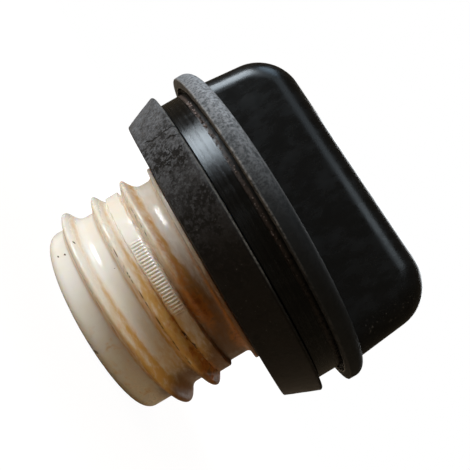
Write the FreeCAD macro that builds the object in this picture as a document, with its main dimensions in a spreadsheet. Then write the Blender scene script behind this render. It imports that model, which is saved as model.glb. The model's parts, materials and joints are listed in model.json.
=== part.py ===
import FreeCAD, Part
import math
import os
import re
import Sketcher

# Screw-in fuel cap: white threaded plug, thick rubber seal ring, black cap with a bar handle.
# The frame stands on the open end of the plug: origin at the centre of that end, +Z towards the
# handle, +X along the bar. Lengths are millimetres, angles are degrees.

V = FreeCAD.Vector
FULL_TURN = 360.0

# Driving sizes. Radial sizes build outwards from the plug's root, heights upwards from its end.
SIZES = [
    # screw plug
    ("plug_root_radius", 24.2),
    ("plug_wall", 2.8),
    ("plug_end_round", 2.2),
    ("floor_height", 3.0),
    ("floor_thickness", 2.5),
    ("boss_wall", 3.0),
    ("boss_drop", 1.4),
    ("boss_rise", 2.5),
    ("floor_rib_count", 6),
    ("floor_rib_width", 1.6),
    ("floor_rib_depth", 1.4),
    # thread of the plug
    ("thread_pitch", 7.8),
    ("thread_height", 3.3),
    ("thread_datum_height", 5.85),
    ("thread_datum_azimuth", 192.0),
    ("thread_turn_before", 110.0),
    ("thread_turn_after", 846.0),
    ("thread_run_out", 40.0),
    ("thread_sink", 3.8),
    ("thread_relief", 5.12),
    ("ridge_lead_width", 1.65),
    ("ridge_trail_width", 3.7),
    ("ridge_crest_width", 1.1),
    ("ridge_shoulder", 0.5),
    ("ridge_brow", 0.1),
    ("ridge_hollow_height", 0.95),
    ("ridge_hollow_rise", 1.75),
    ("land_height", 1.4),
    ("land_width", 3.7),
    ("land_shift", 0.2),
    ("land_turn_start", 318.0),
    ("land_turn_end", 530.0),
    ("land_run_out", 12.0),
    ("land_sink", 1.8),
    ("land_chamfer", 0.35),
    ("land_rib_count", 24),
    ("land_rib_step", 1.75),
    ("land_rib_start", 424.0),
    ("land_rib_width", 0.42),
    ("land_rib_length", 2.5),
    ("land_rib_height", 0.3),
    ("land_rib_root", 0.3),
    # collar and neck that hold the seal
    ("collar_reach", 2.6),
    ("collar_thickness", 0.8),
    ("collar_fillet", 1.3),
    ("collar_hold", 1.6),
    # rubber seal ring
    ("seal_foot", 0.5),
    ("seal_foot_width", 1.7),
    ("seal_thickness", 8.7),
    ("seal_reach", 15.6),
    ("seal_taper", 3.0),
    ("seal_edge", 0.6),
    # deck with the ratchet track
    ("deck_thickness", 2.5),
    ("track_inset", 3.1),
    ("track_wall", 2.7),
    ("track_height", 4.0),
    ("rim_overhang", 3.2),
    ("rim_thickness", 1.6),
    ("tooth_count", 24),
    ("tooth_depth", 2.0),
    ("tooth_slope", 9.0),
    ("tooth_top_gap", 0.4),
    # cap with the bar handle
    ("rim_clearance", 1.3),
    ("skirt_wall", 2.6),
    ("running_gap", 0.3),
    ("flange_reach", 3.9),
    ("flange_thickness", 4.6),
    ("flange_skin", 2.0),
    ("flange_undercut_width", 1.6),
    ("flange_undercut_rise", 1.5),
    ("flange_lower_bevel", 0.5),
    ("flange_upper_round", 2.8),
    ("handle_inset", 3.2),
    ("handle_width", 26.4),
    ("handle_height", 22.7),
    ("handle_end_draft", 2.3),
    ("handle_corner", 10.4),
    ("handle_edge_round", 6.8),
    ("handle_wall", 2.8),
    ("handle_end_wall", 4.6),
    # retaining ring in the skirt, washer and cover plate
    ("snap_depth", 0.5),
    ("snap_clearance", 0.1),
    ("retainer_thickness", 1.8),
    ("retainer_clearance", 0.4),
    ("retainer_gap_width", 9.0),
    ("washer_thickness", 0.5),
    ("washer_margin", 0.2),
    ("cover_thickness", 1.5),
    ("cover_clearance", 0.25),
    ("dog_count", 6),
    ("dog_width", 4.0),
    ("dog_depth", 2.6),
    ("dog_length", 3.6),
    # ratchet ring
    ("dog_clearance", 0.3),
    ("arm_room", 7.0),
    ("hub_wall", 4.4),
    ("pawl_count", 3),
    ("pawl_clearance", 0.35),
    ("arm_sweep", 58.0),
    ("arm_root_turn", 10.0),
    ("arm_thickness", 1.7),
    ("arm_bow", 1.25),
    # valve housing in the floor of the plug
    ("valve_bore_radius", 11.0),
    ("spigot_fit", 0.1),
    ("housing_foot", 1.0),
    ("housing_flange_reach", 2.5),
    ("housing_flange_thickness", 1.5),
    ("housing_wall", 1.4),
    ("housing_lower_radius", 8.2),
    ("web_height", 5.2),
    ("web_thickness", 1.2),
    ("seat_hole_radius", 5.4),
    ("seat_lip_radius", 5.9),
    ("seat_lip_width", 0.6),
    ("seat_lip_height", 0.5),
    ("oring_height", 3.4),
    ("oring_wire_radius", 0.7),
    ("oring_flat", 0.3),
    ("oring_groove_play", 0.1),
    # pressure valve
    ("plate_clearance", 0.5),
    ("plate_thickness", 1.2),
    ("plate_hole_radius", 2.0),
    ("nose_radius", 3.6),
    ("nose_drop", 1.8),
    ("guide_radius", 5.2),
    ("guide_wall", 0.9),
    ("guide_height", 1.1),
    ("pressure_seal_bore", 4.8),
    ("pressure_seal_radius", 7.6),
    ("pressure_seal_thickness", 1.0),
    ("pressure_spring_radius", 6.6),
    ("pressure_spring_wire", 0.9),
    ("pressure_spring_length", 11.1),
    ("pressure_spring_turns", 4),
    ("keeper_thickness", 1.4),
    ("keeper_hole_radius", 4.0),
    ("keeper_fit", 0.05),
    ("keeper_lip", 0.5),
    ("keeper_lip_height", 0.6),
    # vacuum valve
    ("stem_radius", 1.1),
    ("poppet_radius", 4.3),
    ("poppet_thickness", 1.0),
    ("vacuum_seal_bore", 1.5),
    ("vacuum_seal_radius", 3.9),
    ("vacuum_seal_thickness", 1.0),
    ("vacuum_spring_radius", 2.0),
    ("vacuum_spring_wire", 0.5),
    ("vacuum_spring_length", 3.55),
    ("vacuum_spring_turns", 3),
    ("clip_radius", 3.0),
    ("clip_thickness", 0.5),
    ("clip_neck_radius", 0.8),
    ("clip_slot_width", 1.5),
    ("stem_tip", 0.7),
    # guard over the valve's mouth
    ("guard_radius", 8.75),
    ("guard_fit", 0.05),
    ("guard_thickness", 0.8),
    ("guard_hole_count", 6),
    ("guard_hole_radius", 1.2),
    ("guard_hole_circle", 5.4),
]
ALIASES = {alias for alias, value in SIZES}

# Heights and radii that follow from the driving sizes.
PLUG_INNER = "(plug_root_radius - plug_wall)"
MID_WALL = "(plug_root_radius - plug_wall / 2)"
FLOOR_TOP = "(floor_height + floor_thickness)"
BOSS_RADIUS = "(valve_bore_radius + boss_wall)"
BOSS_BOTTOM = "(floor_height - boss_drop)"
BOSS_TOP = f"({FLOOR_TOP} + boss_rise)"
COLLAR_RADIUS = "(plug_root_radius + collar_reach)"
THREAD_END = "(thread_datum_height + thread_pitch * thread_turn_after / 360)"
COLLAR_TOP = f"({THREAD_END} + thread_relief)"
COLLAR_UNDER = f"({COLLAR_TOP} - collar_thickness)"
NECK_RADIUS = f"({COLLAR_RADIUS} - collar_hold)"
SEAL_BOTTOM = f"({COLLAR_TOP} + seal_foot)"
SEAL_TOP = f"({SEAL_BOTTOM} + seal_thickness)"
SEAL_RADIUS = f"({NECK_RADIUS} + seal_reach)"
DECK_TOP = f"({SEAL_TOP} + deck_thickness)"
TOOTH_ROOT = f"({NECK_RADIUS} + track_inset)"
TOOTH_TIP = f"({TOOTH_ROOT} - tooth_depth)"
TRACK_RADIUS = f"({TOOTH_ROOT} + track_wall)"
TRACK_TOP = f"({DECK_TOP} + track_height)"
RIM_RADIUS = f"({TRACK_RADIUS} + rim_overhang)"
RIM_UNDER = f"({TRACK_TOP} - rim_thickness)"
SKIRT_INNER = f"({RIM_RADIUS} + rim_clearance)"
SKIRT_RADIUS = f"({SKIRT_INNER} + skirt_wall)"
SKIRT_BOTTOM = f"({SEAL_TOP} + running_gap)"
FLANGE_RADIUS = f"({SKIRT_RADIUS} + flange_reach)"
WASHER_TOP = f"({TRACK_TOP} + washer_thickness)"
COVER_BOTTOM = f"({WASHER_TOP} + running_gap)"
CEILING = f"({COVER_BOTTOM} + cover_thickness)"
FLANGE_TOP = f"({CEILING} + flange_skin)"
FLANGE_BOTTOM = f"({FLANGE_TOP} - flange_thickness)"
HANDLE_TOP = f"({FLANGE_TOP} + handle_height)"
HANDLE_REACH = f"({FLANGE_RADIUS} - handle_inset)"
RETAINER_TOP = f"({RIM_UNDER} - running_gap)"
RETAINER_BOTTOM = f"({RETAINER_TOP} - retainer_thickness)"
HUB_RADIUS = f"({TOOTH_TIP} - arm_room)"
HUB_INNER = f"({HUB_RADIUS} - hub_wall)"
DOG_RADIUS = f"({HUB_INNER} - dog_depth / 2)"
DOG_END = f"({DOG_RADIUS} + dog_depth)"
PAWL_BOTTOM = f"({DECK_TOP} + running_gap)"
PAWL_TOP = f"({COVER_BOTTOM} - running_gap)"
SPIGOT_RADIUS = "(valve_bore_radius - spigot_fit)"
GROOVE_RADIUS = "(valve_bore_radius - 2 * oring_wire_radius)"
WEB_TOP = "(housing_foot + web_height)"
WEB_BOTTOM = f"({WEB_TOP} - web_thickness)"
UPPER_BORE = f"({SPIGOT_RADIUS} - housing_wall)"
SEAT = f"({WEB_TOP} + seat_lip_height)"
PLATE_BOTTOM = f"({SEAT} + pressure_seal_thickness)"
PLATE_TOP = f"({PLATE_BOTTOM} + plate_thickness)"
NOSE = f"({PLATE_BOTTOM} - nose_drop)"
POPPET_TOP = f"({NOSE} - vacuum_seal_thickness)"
POPPET_BOTTOM = f"({POPPET_TOP} - poppet_thickness)"
CLIP_BOTTOM = f"({PLATE_TOP} + vacuum_spring_length)"
CLIP_TOP = f"({CLIP_BOTTOM} + clip_thickness)"
KEEPER_BOTTOM = f"({PLATE_TOP} + pressure_spring_length)"
KEEPER_TOP = f"({KEEPER_BOTTOM} + keeper_thickness)"
HOUSING_TOP = f"({KEEPER_TOP} + keeper_lip_height)"

# Steps of the swept helices and of the round spring wire.
HELIX_STEP = 30.0
HELIX_STEPS_LEAST = 8
WIRE_SIDES = 4

doc = FreeCAD.newDocument("fuel_cap")
dims = doc.addObject("Spreadsheet::Sheet", "dims")
for row, (alias, value) in enumerate(SIZES, start=1):
    dims.set(f"A{row}", alias.replace("_", " "))
    dims.set(f"B{row}", str(value))
    dims.setAlias(f"B{row}", alias)
doc.recompute()


def cells(text):
    """The expression with every size name pointing at its cell."""
    return re.sub(r"[a-z][a-z_]+", lambda word: cell_name(word.group()), text)


def cell_name(word):
    return "dims." + word if word in ALIASES else word


def number(text):
    """The present value of an expression of size names."""
    value = dims.evalExpression(cells(text))
    return float(getattr(value, "Value", value))


def polar(radius, angle):
    """Across and up expressions of a point given by its radius and its angle in degrees."""
    return f"({radius}) * cos(({angle}) * 1 deg)", f"({radius}) * sin(({angle}) * 1 deg)"


# Sketch and feature helpers


def new_body(label):
    body = doc.addObject("PartDesign::Body", label)
    body.Label = label
    return body


def origin_part(body, role):
    for feature in body.Origin.OriginFeatures:
        if feature.Role == role:
            return feature
    raise ValueError(role)


def new_sketch(body, name, role, lift="0"):
    """A sketch on an origin plane, lifted along its normal."""
    sketch = body.newObject("Sketcher::SketchObject", name)
    sketch.AttachmentSupport = [(origin_part(body, role), "")]
    sketch.MapMode = "FlatFace"
    if lift != "0":
        sketch.setExpression("AttachmentOffset.Base.z", cells(lift))
    return sketch


def pin_coordinate(sketch, kind, geometry, end, text, name):
    """Ties one coordinate of a sketch point to an expression, measured from the origin."""
    value = number(text)
    if abs(value) < 1e-9:
        axis = -2 if kind == "DistanceX" else -1
        sketch.addConstraint(Sketcher.Constraint("PointOnObject", geometry, end, axis))
        return
    if value > 0:
        rule = Sketcher.Constraint(kind, -1, 1, geometry, end, value)
    else:
        rule = Sketcher.Constraint(kind, geometry, end, -1, 1, -value)
        text = f"-({text})"
    index = sketch.addConstraint(rule)
    sketch.renameConstraint(index, name)
    sketch.setExpression(f"Constraints.{name}", cells(text))


def arc_between(start, end, radius):
    """Arc of a circle from start to end; a positive radius bends left of the way, negative right."""
    chord = end - start
    half = chord.Length / 2.0
    size = abs(radius)
    side = V(-chord.y, chord.x, 0).normalize()
    height = math.sqrt(max(size * size - half * half, 0.0))
    centre = start + chord * 0.5 + side * (height if radius > 0 else -height)
    circle = Part.Circle(centre, V(0, 0, 1), size)
    first, last = (start, end) if radius > 0 else (end, start)
    angles = [math.atan2(p.y - centre.y, p.x - centre.x) for p in (first, last)]
    return Part.ArcOfCircle(circle, angles[0], angles[1])


def outline(sketch, corners, tag="corner"):
    """Closed outline through (across, up) corners; a third entry bends the side that follows."""
    points = [V(number(corner[0]), number(corner[1]), 0) for corner in corners]
    sides = []
    for index, corner in enumerate(corners):
        start, end = points[index], points[(index + 1) % len(points)]
        if len(corner) == 2:
            sides.append((sketch.addGeometry(Part.LineSegment(start, end)), 1, 2))
            continue
        bend = number(corner[2])
        side = sketch.addGeometry(arc_between(start, end, bend))
        sides.append((side, 1, 2) if bend > 0 else (side, 2, 1))
        rule = sketch.addConstraint(Sketcher.Constraint("Radius", side, abs(bend)))
        sketch.renameConstraint(rule, f"{tag}_bend_{index}")
        text = corner[2] if bend > 0 else f"-({corner[2]})"
        sketch.setExpression(f"Constraints.{tag}_bend_{index}", cells(text))
    for index, corner in enumerate(corners):
        side, begin, finish = sides[index]
        before = sides[index - 1]
        sketch.addConstraint(Sketcher.Constraint("Coincident", before[0], before[2], side, begin))
        pin_coordinate(sketch, "DistanceX", side, begin, corner[0], f"{tag}_across_{index}")
        pin_coordinate(sketch, "DistanceY", side, begin, corner[1], f"{tag}_up_{index}")


def round_line(sketch, radius, tag, across="0", up="0"):
    """A bound circle in a sketch."""
    centre = V(number(across), number(up), 0)
    circle = sketch.addGeometry(Part.Circle(centre, V(0, 0, 1), number(radius)))
    pin_coordinate(sketch, "DistanceX", circle, 3, across, f"{tag}_across")
    pin_coordinate(sketch, "DistanceY", circle, 3, up, f"{tag}_up")
    rule = sketch.addConstraint(Sketcher.Constraint("Radius", circle, number(radius)))
    sketch.renameConstraint(rule, f"{tag}_radius")
    sketch.setExpression(f"Constraints.{tag}_radius", cells(radius))


def revolve(body, name, corners, kind="PartDesign::Revolution"):
    """Full turn of a (radius, height) outline about the cap's axis."""
    sketch = new_sketch(body, f"{name}_section", "XZ_Plane")
    outline(sketch, corners)
    feature = body.newObject(kind, name)
    feature.Profile = sketch
    feature.ReferenceAxis = (sketch, ["V_Axis"])
    feature.Angle = FULL_TURN
    sketch.Visibility = False
    return feature


def pad(body, name, sketch, length, kind="PartDesign::Pad", reverse=False):
    feature = body.newObject(kind, name)
    feature.Profile = sketch
    feature.setExpression("Length", cells(length))
    feature.Reversed = reverse
    return feature


def spread(body, name, feature, count):
    """The feature repeated evenly about the cap's axis."""
    pattern = body.newObject("PartDesign::PolarPattern", name)
    pattern.Originals = [feature]
    pattern.Axis = (origin_part(body, "Z_Axis"), [""])
    pattern.Angle = FULL_TURN
    pattern.setExpression("Occurrences", cells(count))
    body.Tip = pattern
    return pattern


def round_edges(body, name, base, picked, radius):
    """Fillet of the edges of the last feature that the test picks."""
    doc.recompute()
    names = [f"Edge{i}" for i, edge in enumerate(base.Shape.Edges, start=1) if picked(edge)]
    if not names:
        raise ValueError("no edge found for " + name)
    feature = body.newObject("PartDesign::Fillet", name)
    feature.Base = (base, names)
    feature.setExpression("Radius", cells(radius))
    return feature


def ring_body(label, inner, outer, bottom, top):
    """A plain turned ring as a body of its own."""
    body = new_body(label)
    revolve(body, f"{label}_turned", [(inner, bottom), (outer, bottom), (outer, top), (inner, top)])
    return body


def coded_shape(label, shape):
    feature = doc.addObject("Part::Feature", label)
    feature.Label = label
    feature.Shape = shape
    feature.Placement = FreeCAD.Placement()
    return feature


# Screw plug


def plug_barrel():
    """Turned form of the plug: barrel, floor and valve boss, collar, neck, deck and track wall."""
    body = new_body("plug_barrel")
    collar_foot = f"{COLLAR_UNDER} - collar_fillet"
    revolve(body, "barrel_turned", [
        (PLUG_INNER, "0"),
        ("plug_root_radius - plug_end_round", "0", "plug_end_round"),
        ("plug_root_radius", "plug_end_round"),
        ("plug_root_radius", collar_foot, "-collar_fillet"),
        ("plug_root_radius + collar_fillet", COLLAR_UNDER),
        (COLLAR_RADIUS, COLLAR_UNDER),
        (COLLAR_RADIUS, COLLAR_TOP),
        (NECK_RADIUS, COLLAR_TOP),
        (NECK_RADIUS, SEAL_TOP),
        (RIM_RADIUS, SEAL_TOP),
        (RIM_RADIUS, DECK_TOP),
        (TRACK_RADIUS, DECK_TOP),
        (TRACK_RADIUS, RIM_UNDER),
        (RIM_RADIUS, RIM_UNDER),
        (RIM_RADIUS, TRACK_TOP),
        (TOOTH_ROOT, TRACK_TOP),
        (TOOTH_ROOT, DECK_TOP),
        (PLUG_INNER, DECK_TOP),
        (PLUG_INNER, FLOOR_TOP),
        (BOSS_RADIUS, FLOOR_TOP),
        (BOSS_RADIUS, BOSS_TOP),
        ("valve_bore_radius", BOSS_TOP),
        ("valve_bore_radius", BOSS_BOTTOM),
        (BOSS_RADIUS, BOSS_BOTTOM),
        (BOSS_RADIUS, "floor_height"),
        (PLUG_INNER, "floor_height"),
    ])
    tooth = new_sketch(body, "tooth_outline", "XY_Plane", lift=DECK_TOP)
    outline(tooth, [
        polar(f"{TOOTH_ROOT} + track_wall / 2", "0"),
        polar(TOOTH_TIP, "0"),
        polar(TOOTH_ROOT, "tooth_slope"),
        polar(f"{TOOTH_ROOT} + track_wall / 2", "tooth_slope"),
    ])
    one_tooth = pad(body, "tooth", tooth, "track_height - tooth_top_gap")
    spread(body, "teeth", one_tooth, "tooth_count")
    rib = new_sketch(body, "floor_rib_outline", "XY_Plane", lift="floor_height")
    side = "floor_rib_width / 2"
    outline(rib, [
        (f"{BOSS_RADIUS} - boss_wall / 2", f"-({side})"),
        (f"{PLUG_INNER} + plug_wall / 2", f"-({side})"),
        (f"{PLUG_INNER} + plug_wall / 2", side),
        (f"{BOSS_RADIUS} - boss_wall / 2", side),
    ])
    one_rib = pad(body, "floor_rib", rib, "floor_rib_depth", reverse=True)
    spread(body, "floor_ribs", one_rib, "floor_rib_count")
    return body


def ease(share):
    """Smooth step from 0 to 1."""
    share = min(max(share, 0.0), 1.0)
    return share * share * (3.0 - 2.0 * share)


def helix_path(radius, first_turn, last_turn, run_out, sink, shift):
    """Helix on the plug at this radius, which dives under the root by sink at both ends."""
    pitch = number("thread_pitch")
    datum = number("thread_datum_height") + shift
    start = math.radians(number("thread_datum_azimuth") + first_turn)
    turn = last_turn - first_turn
    steps = max(int(turn // HELIX_STEP), HELIX_STEPS_LEAST)
    points = []
    for index in range(steps + 1):
        part = turn * index / steps
        raised = min(ease(part / run_out), ease((turn - part) / run_out))
        reach = radius - sink * (1.0 - raised)
        angle = start + math.radians(part)
        height = datum + pitch * (first_turn + part) / FULL_TURN
        points.append(V(reach * math.cos(angle), reach * math.sin(angle), height))
    curve = Part.BSplineCurve()
    curve.interpolate(points)
    return Part.Wire([curve.toShape()]), start, points[0]


def swept_band(path, start, foot, radius, profile):
    """Solid swept along a helix path; the profile is (radius, height) corners about the path."""
    corners = []
    for across, up in profile + profile[:1]:
        reach = math.hypot(foot.x, foot.y) + across - radius
        corners.append(V(reach * math.cos(start), reach * math.sin(start), foot.z + up))
    shell = Part.BRepOffsetAPI.MakePipeShell(path)
    shell.setBiNormalMode(V(0, 0, 1))
    shell.add(Part.makePolygon(corners))
    shell.build()
    shell.makeSolid()
    core = Part.makeCylinder(number(MID_WALL), number(SEAL_TOP))
    return shell.shape().cut(core)


def thread_ridge():
    """The coarse ridge: steep towards the plug's end, hollowed towards the collar."""
    root = number("plug_root_radius")
    crest = number("plug_root_radius + thread_height")
    inside = number("plug_root_radius - plug_wall")
    below, above = number("ridge_lead_width"), number("ridge_trail_width")
    half = number("ridge_crest_width / 2")
    shoulder = number("ridge_shoulder")
    profile = [
        (inside, -below),
        (root, -below),
        (crest - shoulder, -half),
        (crest - number("ridge_brow"), 0.0),
        (crest - shoulder, half),
        (root + number("ridge_hollow_height"), number("ridge_hollow_rise")),
        (root, above),
        (inside, above),
    ]
    first, last = -number("thread_turn_before"), number("thread_turn_after")
    run_out, sink = number("thread_run_out"), number("thread_sink")
    path, start, foot = helix_path(crest, first, last, run_out, sink, 0.0)
    return coded_shape("thread_ridge", swept_band(path, start, foot, crest, profile))


def root_land():
    """The low band in the thread's root, which carries the fine ribs."""
    top = number("plug_root_radius + land_height")
    inside = number("plug_root_radius - plug_wall")
    half, chamfer = number("land_width / 2"), number("land_chamfer")
    profile = [
        (inside, -half),
        (top - chamfer, -half),
        (top, -half + chamfer),
        (top, half - chamfer),
        (top - chamfer, half),
        (inside, half),
    ]
    shift = number("thread_pitch / 2 + land_shift")
    first, last = number("land_turn_start"), number("land_turn_end")
    run_out, sink = number("land_run_out"), number("land_sink")
    path, start, foot = helix_path(top, first, last, run_out, sink, shift)
    return coded_shape("root_land", swept_band(path, start, foot, top, profile))


def land_ribs():
    """Fine upright ribs on the land, following its rise."""
    top = number("plug_root_radius + land_height")
    width, length = number("land_rib_width"), number("land_rib_length")
    root, height = number("land_rib_root"), number("land_rib_height")
    ribs = []
    for index in range(int(number("land_rib_count"))):
        turn = number("land_rib_start") + index * number("land_rib_step")
        middle = number("thread_datum_height + thread_pitch / 2 + land_shift")
        middle += number("thread_pitch") * turn / FULL_TURN
        corner = V(top - root, -width / 2, -length / 2)
        rib = Part.makeBox(root + height, width, length, corner)
        rib.translate(V(0, 0, middle))
        rib.rotate(V(0, 0, 0), V(0, 0, 1), number("thread_datum_azimuth") + turn)
        ribs.append(rib)
    return coded_shape("land_ribs", Part.makeCompound(ribs))


def plug_body():
    """The whole plug: barrel, thread ridge, ribbed land."""
    plug = doc.addObject("Part::MultiFuse", "plug_body")
    plug.Label = "plug_body"
    plug.Shapes = [plug_barrel(), thread_ridge(), root_land(), land_ribs()]
    plug.Refine = False
    return plug


def seal_ring():
    """Thick rubber ring with a conical outer face, seated between the collar and the deck."""
    body = new_body("seal_ring")
    foot = f"({COLLAR_RADIUS} + seal_foot_width)"
    revolve(body, "seal_turned", [
        (NECK_RADIUS, COLLAR_TOP),
        (COLLAR_RADIUS, COLLAR_TOP),
        (foot, SEAL_BOTTOM),
        (f"{SEAL_RADIUS} - seal_taper - seal_edge", SEAL_BOTTOM),
        (f"{SEAL_RADIUS} - seal_taper", f"{SEAL_BOTTOM} + seal_edge"),
        (SEAL_RADIUS, f"{SEAL_TOP} - seal_edge"),
        (f"{SEAL_RADIUS} - seal_edge", SEAL_TOP),
        (NECK_RADIUS, SEAL_TOP),
    ])
    return body


# Cap, retaining ring, cover plate and ratchet ring


def grip_cap():
    """Black cap: bar handle with drafted ends, undercut flange, skirt, hollow bar."""
    body = new_body("grip_cap")
    side = new_sketch(body, "handle_side", "XZ_Plane")
    reach_top = f"({HANDLE_REACH} - handle_end_draft)"
    corner_foot = f"({HANDLE_TOP} - handle_corner)"
    outline(side, [
        (f"-({HANDLE_REACH})", CEILING),
        (HANDLE_REACH, CEILING),
        (reach_top, corner_foot, "handle_corner"),
        (f"{reach_top} - handle_corner", HANDLE_TOP),
        (f"-({reach_top} - handle_corner)", HANDLE_TOP, "handle_corner"),
        (f"-({reach_top})", corner_foot),
    ])
    bar = body.newObject("PartDesign::Pad", "handle_bar")
    bar.Profile = side
    bar.setExpression("Length", cells("handle_width"))
    bar.Midplane = True
    half_width = number("handle_width") / 2.0
    top, foot = number(HANDLE_TOP), number(CEILING)

    def on_broad_face(edge):
        """Outline edges of both broad faces, apart from the one buried in the flange."""
        ends = [vertex.Point for vertex in edge.Vertexes]
        flat = all(abs(abs(p.y) - half_width) < 1e-4 for p in ends)
        same_side = ends[0].y * ends[-1].y > 0
        return flat and same_side and not all(abs(p.z - foot) < 1e-4 for p in ends)

    rounded = round_edges(body, "handle_rounding", bar, on_broad_face, "handle_edge_round")
    body.Tip = rounded
    skirt = revolve(body, "flange_and_skirt", [
        ("0", CEILING),
        (SKIRT_INNER, CEILING),
        (SKIRT_INNER, f"{RETAINER_TOP} + snap_clearance"),
        (f"{SKIRT_INNER} + snap_depth + snap_clearance", f"{RETAINER_TOP} + snap_clearance"),
        (f"{SKIRT_INNER} + snap_depth + snap_clearance", f"{RETAINER_BOTTOM} - snap_clearance"),
        (SKIRT_INNER, f"{RETAINER_BOTTOM} - snap_clearance"),
        (SKIRT_INNER, SKIRT_BOTTOM),
        (SKIRT_RADIUS, SKIRT_BOTTOM),
        (SKIRT_RADIUS, f"{FLANGE_BOTTOM} + flange_undercut_rise"),
        (f"{SKIRT_RADIUS} + flange_undercut_width", f"{FLANGE_BOTTOM} + flange_undercut_rise"),
        (f"{SKIRT_RADIUS} + flange_undercut_width", FLANGE_BOTTOM),
        (f"{FLANGE_RADIUS} - flange_lower_bevel", FLANGE_BOTTOM),
        (FLANGE_RADIUS, f"{FLANGE_BOTTOM} + flange_lower_bevel"),
        (FLANGE_RADIUS, f"{FLANGE_TOP} - flange_upper_round", "flange_upper_round"),
        (f"{FLANGE_RADIUS} - flange_upper_round", FLANGE_TOP),
        ("0", FLANGE_TOP),
    ])
    hollow = new_sketch(body, "handle_hollow_outline", "XY_Plane", lift=CEILING)
    long_side = f"({HANDLE_REACH} - handle_end_wall)"
    short_side = "(handle_width / 2 - handle_wall)"
    blunt = "(handle_edge_round - handle_wall)"
    outline(hollow, [
        (f"-({long_side} - {blunt})", f"-({short_side})"),
        (f"{long_side} - {blunt}", f"-({short_side})", blunt),
        (long_side, f"-({short_side} - {blunt})"),
        (long_side, f"{short_side} - {blunt}", blunt),
        (f"{long_side} - {blunt}", short_side),
        (f"-({long_side} - {blunt})", short_side, blunt),
        (f"-({long_side})", f"{short_side} - {blunt}"),
        (f"-({long_side})", f"-({short_side} - {blunt})", blunt),
    ])
    pocket = pad(body, "handle_hollow", hollow, "handle_height + flange_skin - handle_end_wall",
                 kind="PartDesign::Pocket", reverse=True)
    body.Tip = pocket
    return body


def retaining_ring():
    """Split snap ring in the skirt's groove, under the rim of the plug."""
    body = ring_body("retaining_ring", f"{TRACK_RADIUS} + retainer_clearance",
                     f"{SKIRT_INNER} + snap_depth", RETAINER_BOTTOM, RETAINER_TOP)
    slot = new_sketch(body, "split_outline", "XY_Plane", lift=RETAINER_BOTTOM)
    half = "retainer_gap_width / 2"
    outline(slot, [
        (TOOTH_ROOT, f"-({half})"),
        (FLANGE_RADIUS, f"-({half})"),
        (FLANGE_RADIUS, half),
        (TOOTH_ROOT, half),
    ])
    pad(body, "split", slot, "retainer_thickness", kind="PartDesign::Pocket", reverse=True)
    return body


def slip_washer():
    """Flat washer on the rim of the plug, under the cap."""
    return ring_body("slip_washer", f"{TOOTH_ROOT} + washer_margin",
                     f"{RIM_RADIUS} - washer_margin", TRACK_TOP, WASHER_TOP)


def inner_cover():
    """Plate that closes the hollow bar, with dogs that turn the ratchet ring."""
    body = new_body("inner_cover")
    edge = f"({SKIRT_INNER} - cover_clearance)"
    revolve(body, "cover_disc", [
        ("0", COVER_BOTTOM),
        (edge, COVER_BOTTOM),
        (edge, CEILING),
        ("0", CEILING),
    ])
    dog = new_sketch(body, "dog_outline", "XY_Plane", lift=COVER_BOTTOM)
    half = "dog_width / 2"
    outline(dog, [
        (DOG_RADIUS, f"-({half})"),
        (DOG_END, f"-({half})"),
        (DOG_END, half),
        (DOG_RADIUS, half),
    ])
    one_dog = pad(body, "dog", dog, "dog_length", reverse=True)
    spread(body, "dogs", one_dog, "dog_count")
    return body


def ratchet_ring():
    """Moulded ring with spring arms, whose pawls sit between the teeth of the track."""
    body = ring_body("ratchet_ring", HUB_INNER, HUB_RADIUS, PAWL_BOTTOM, PAWL_TOP)
    notch = new_sketch(body, "notch_outline", "XY_Plane", lift=PAWL_BOTTOM)
    half = "(dog_width / 2 + dog_clearance)"
    notch_end = f"({DOG_END} + dog_clearance)"
    outline(notch, [
        (DOG_RADIUS, f"-({half})"),
        (notch_end, f"-({half})"),
        (notch_end, half),
        (DOG_RADIUS, half),
    ])
    one_notch = pad(body, "notch", notch, f"{PAWL_TOP} - {PAWL_BOTTOM}",
                    kind="PartDesign::Pocket", reverse=True)
    spread(body, "notches", one_notch, "dog_count")
    arm = new_sketch(body, "arm_outline", "XY_Plane", lift=PAWL_BOTTOM)
    tooth_turn = "360 / tooth_count"
    play = f"(pawl_clearance / ({TOOTH_ROOT}) * 180 / pi)"
    tip_angle = f"({tooth_turn} - {play})"
    slope_angle = f"(tooth_slope + 2 * {play})"
    pawl_tip = f"({TOOTH_ROOT} - pawl_clearance)"
    free_radius = f"({TOOTH_TIP} - pawl_clearance)"
    arm_inner = f"({free_radius} - arm_thickness)"
    arm_root = "-(arm_sweep - arm_root_turn)"
    outline(arm, [
        polar(f"{HUB_RADIUS} - hub_wall / 2", "-arm_sweep"),
        polar(f"{HUB_RADIUS} - hub_wall / 2", arm_root),
        polar(f"{HUB_RADIUS} + arm_thickness", arm_root) + (f"{arm_inner} * arm_bow",),
        polar(arm_inner, tip_angle),
        polar(pawl_tip, tip_angle),
        polar(pawl_tip, slope_angle),
        polar(free_radius, f"2 * {play}") + (f"-({free_radius} * arm_bow)",),
        polar(f"{HUB_RADIUS} + arm_thickness", "-arm_sweep"),
    ])
    one_arm = pad(body, "arm", arm, f"{PAWL_TOP} - {PAWL_BOTTOM}")
    spread(body, "arms", one_arm, "pawl_count")
    return body


# Valve in the floor of the plug


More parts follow.
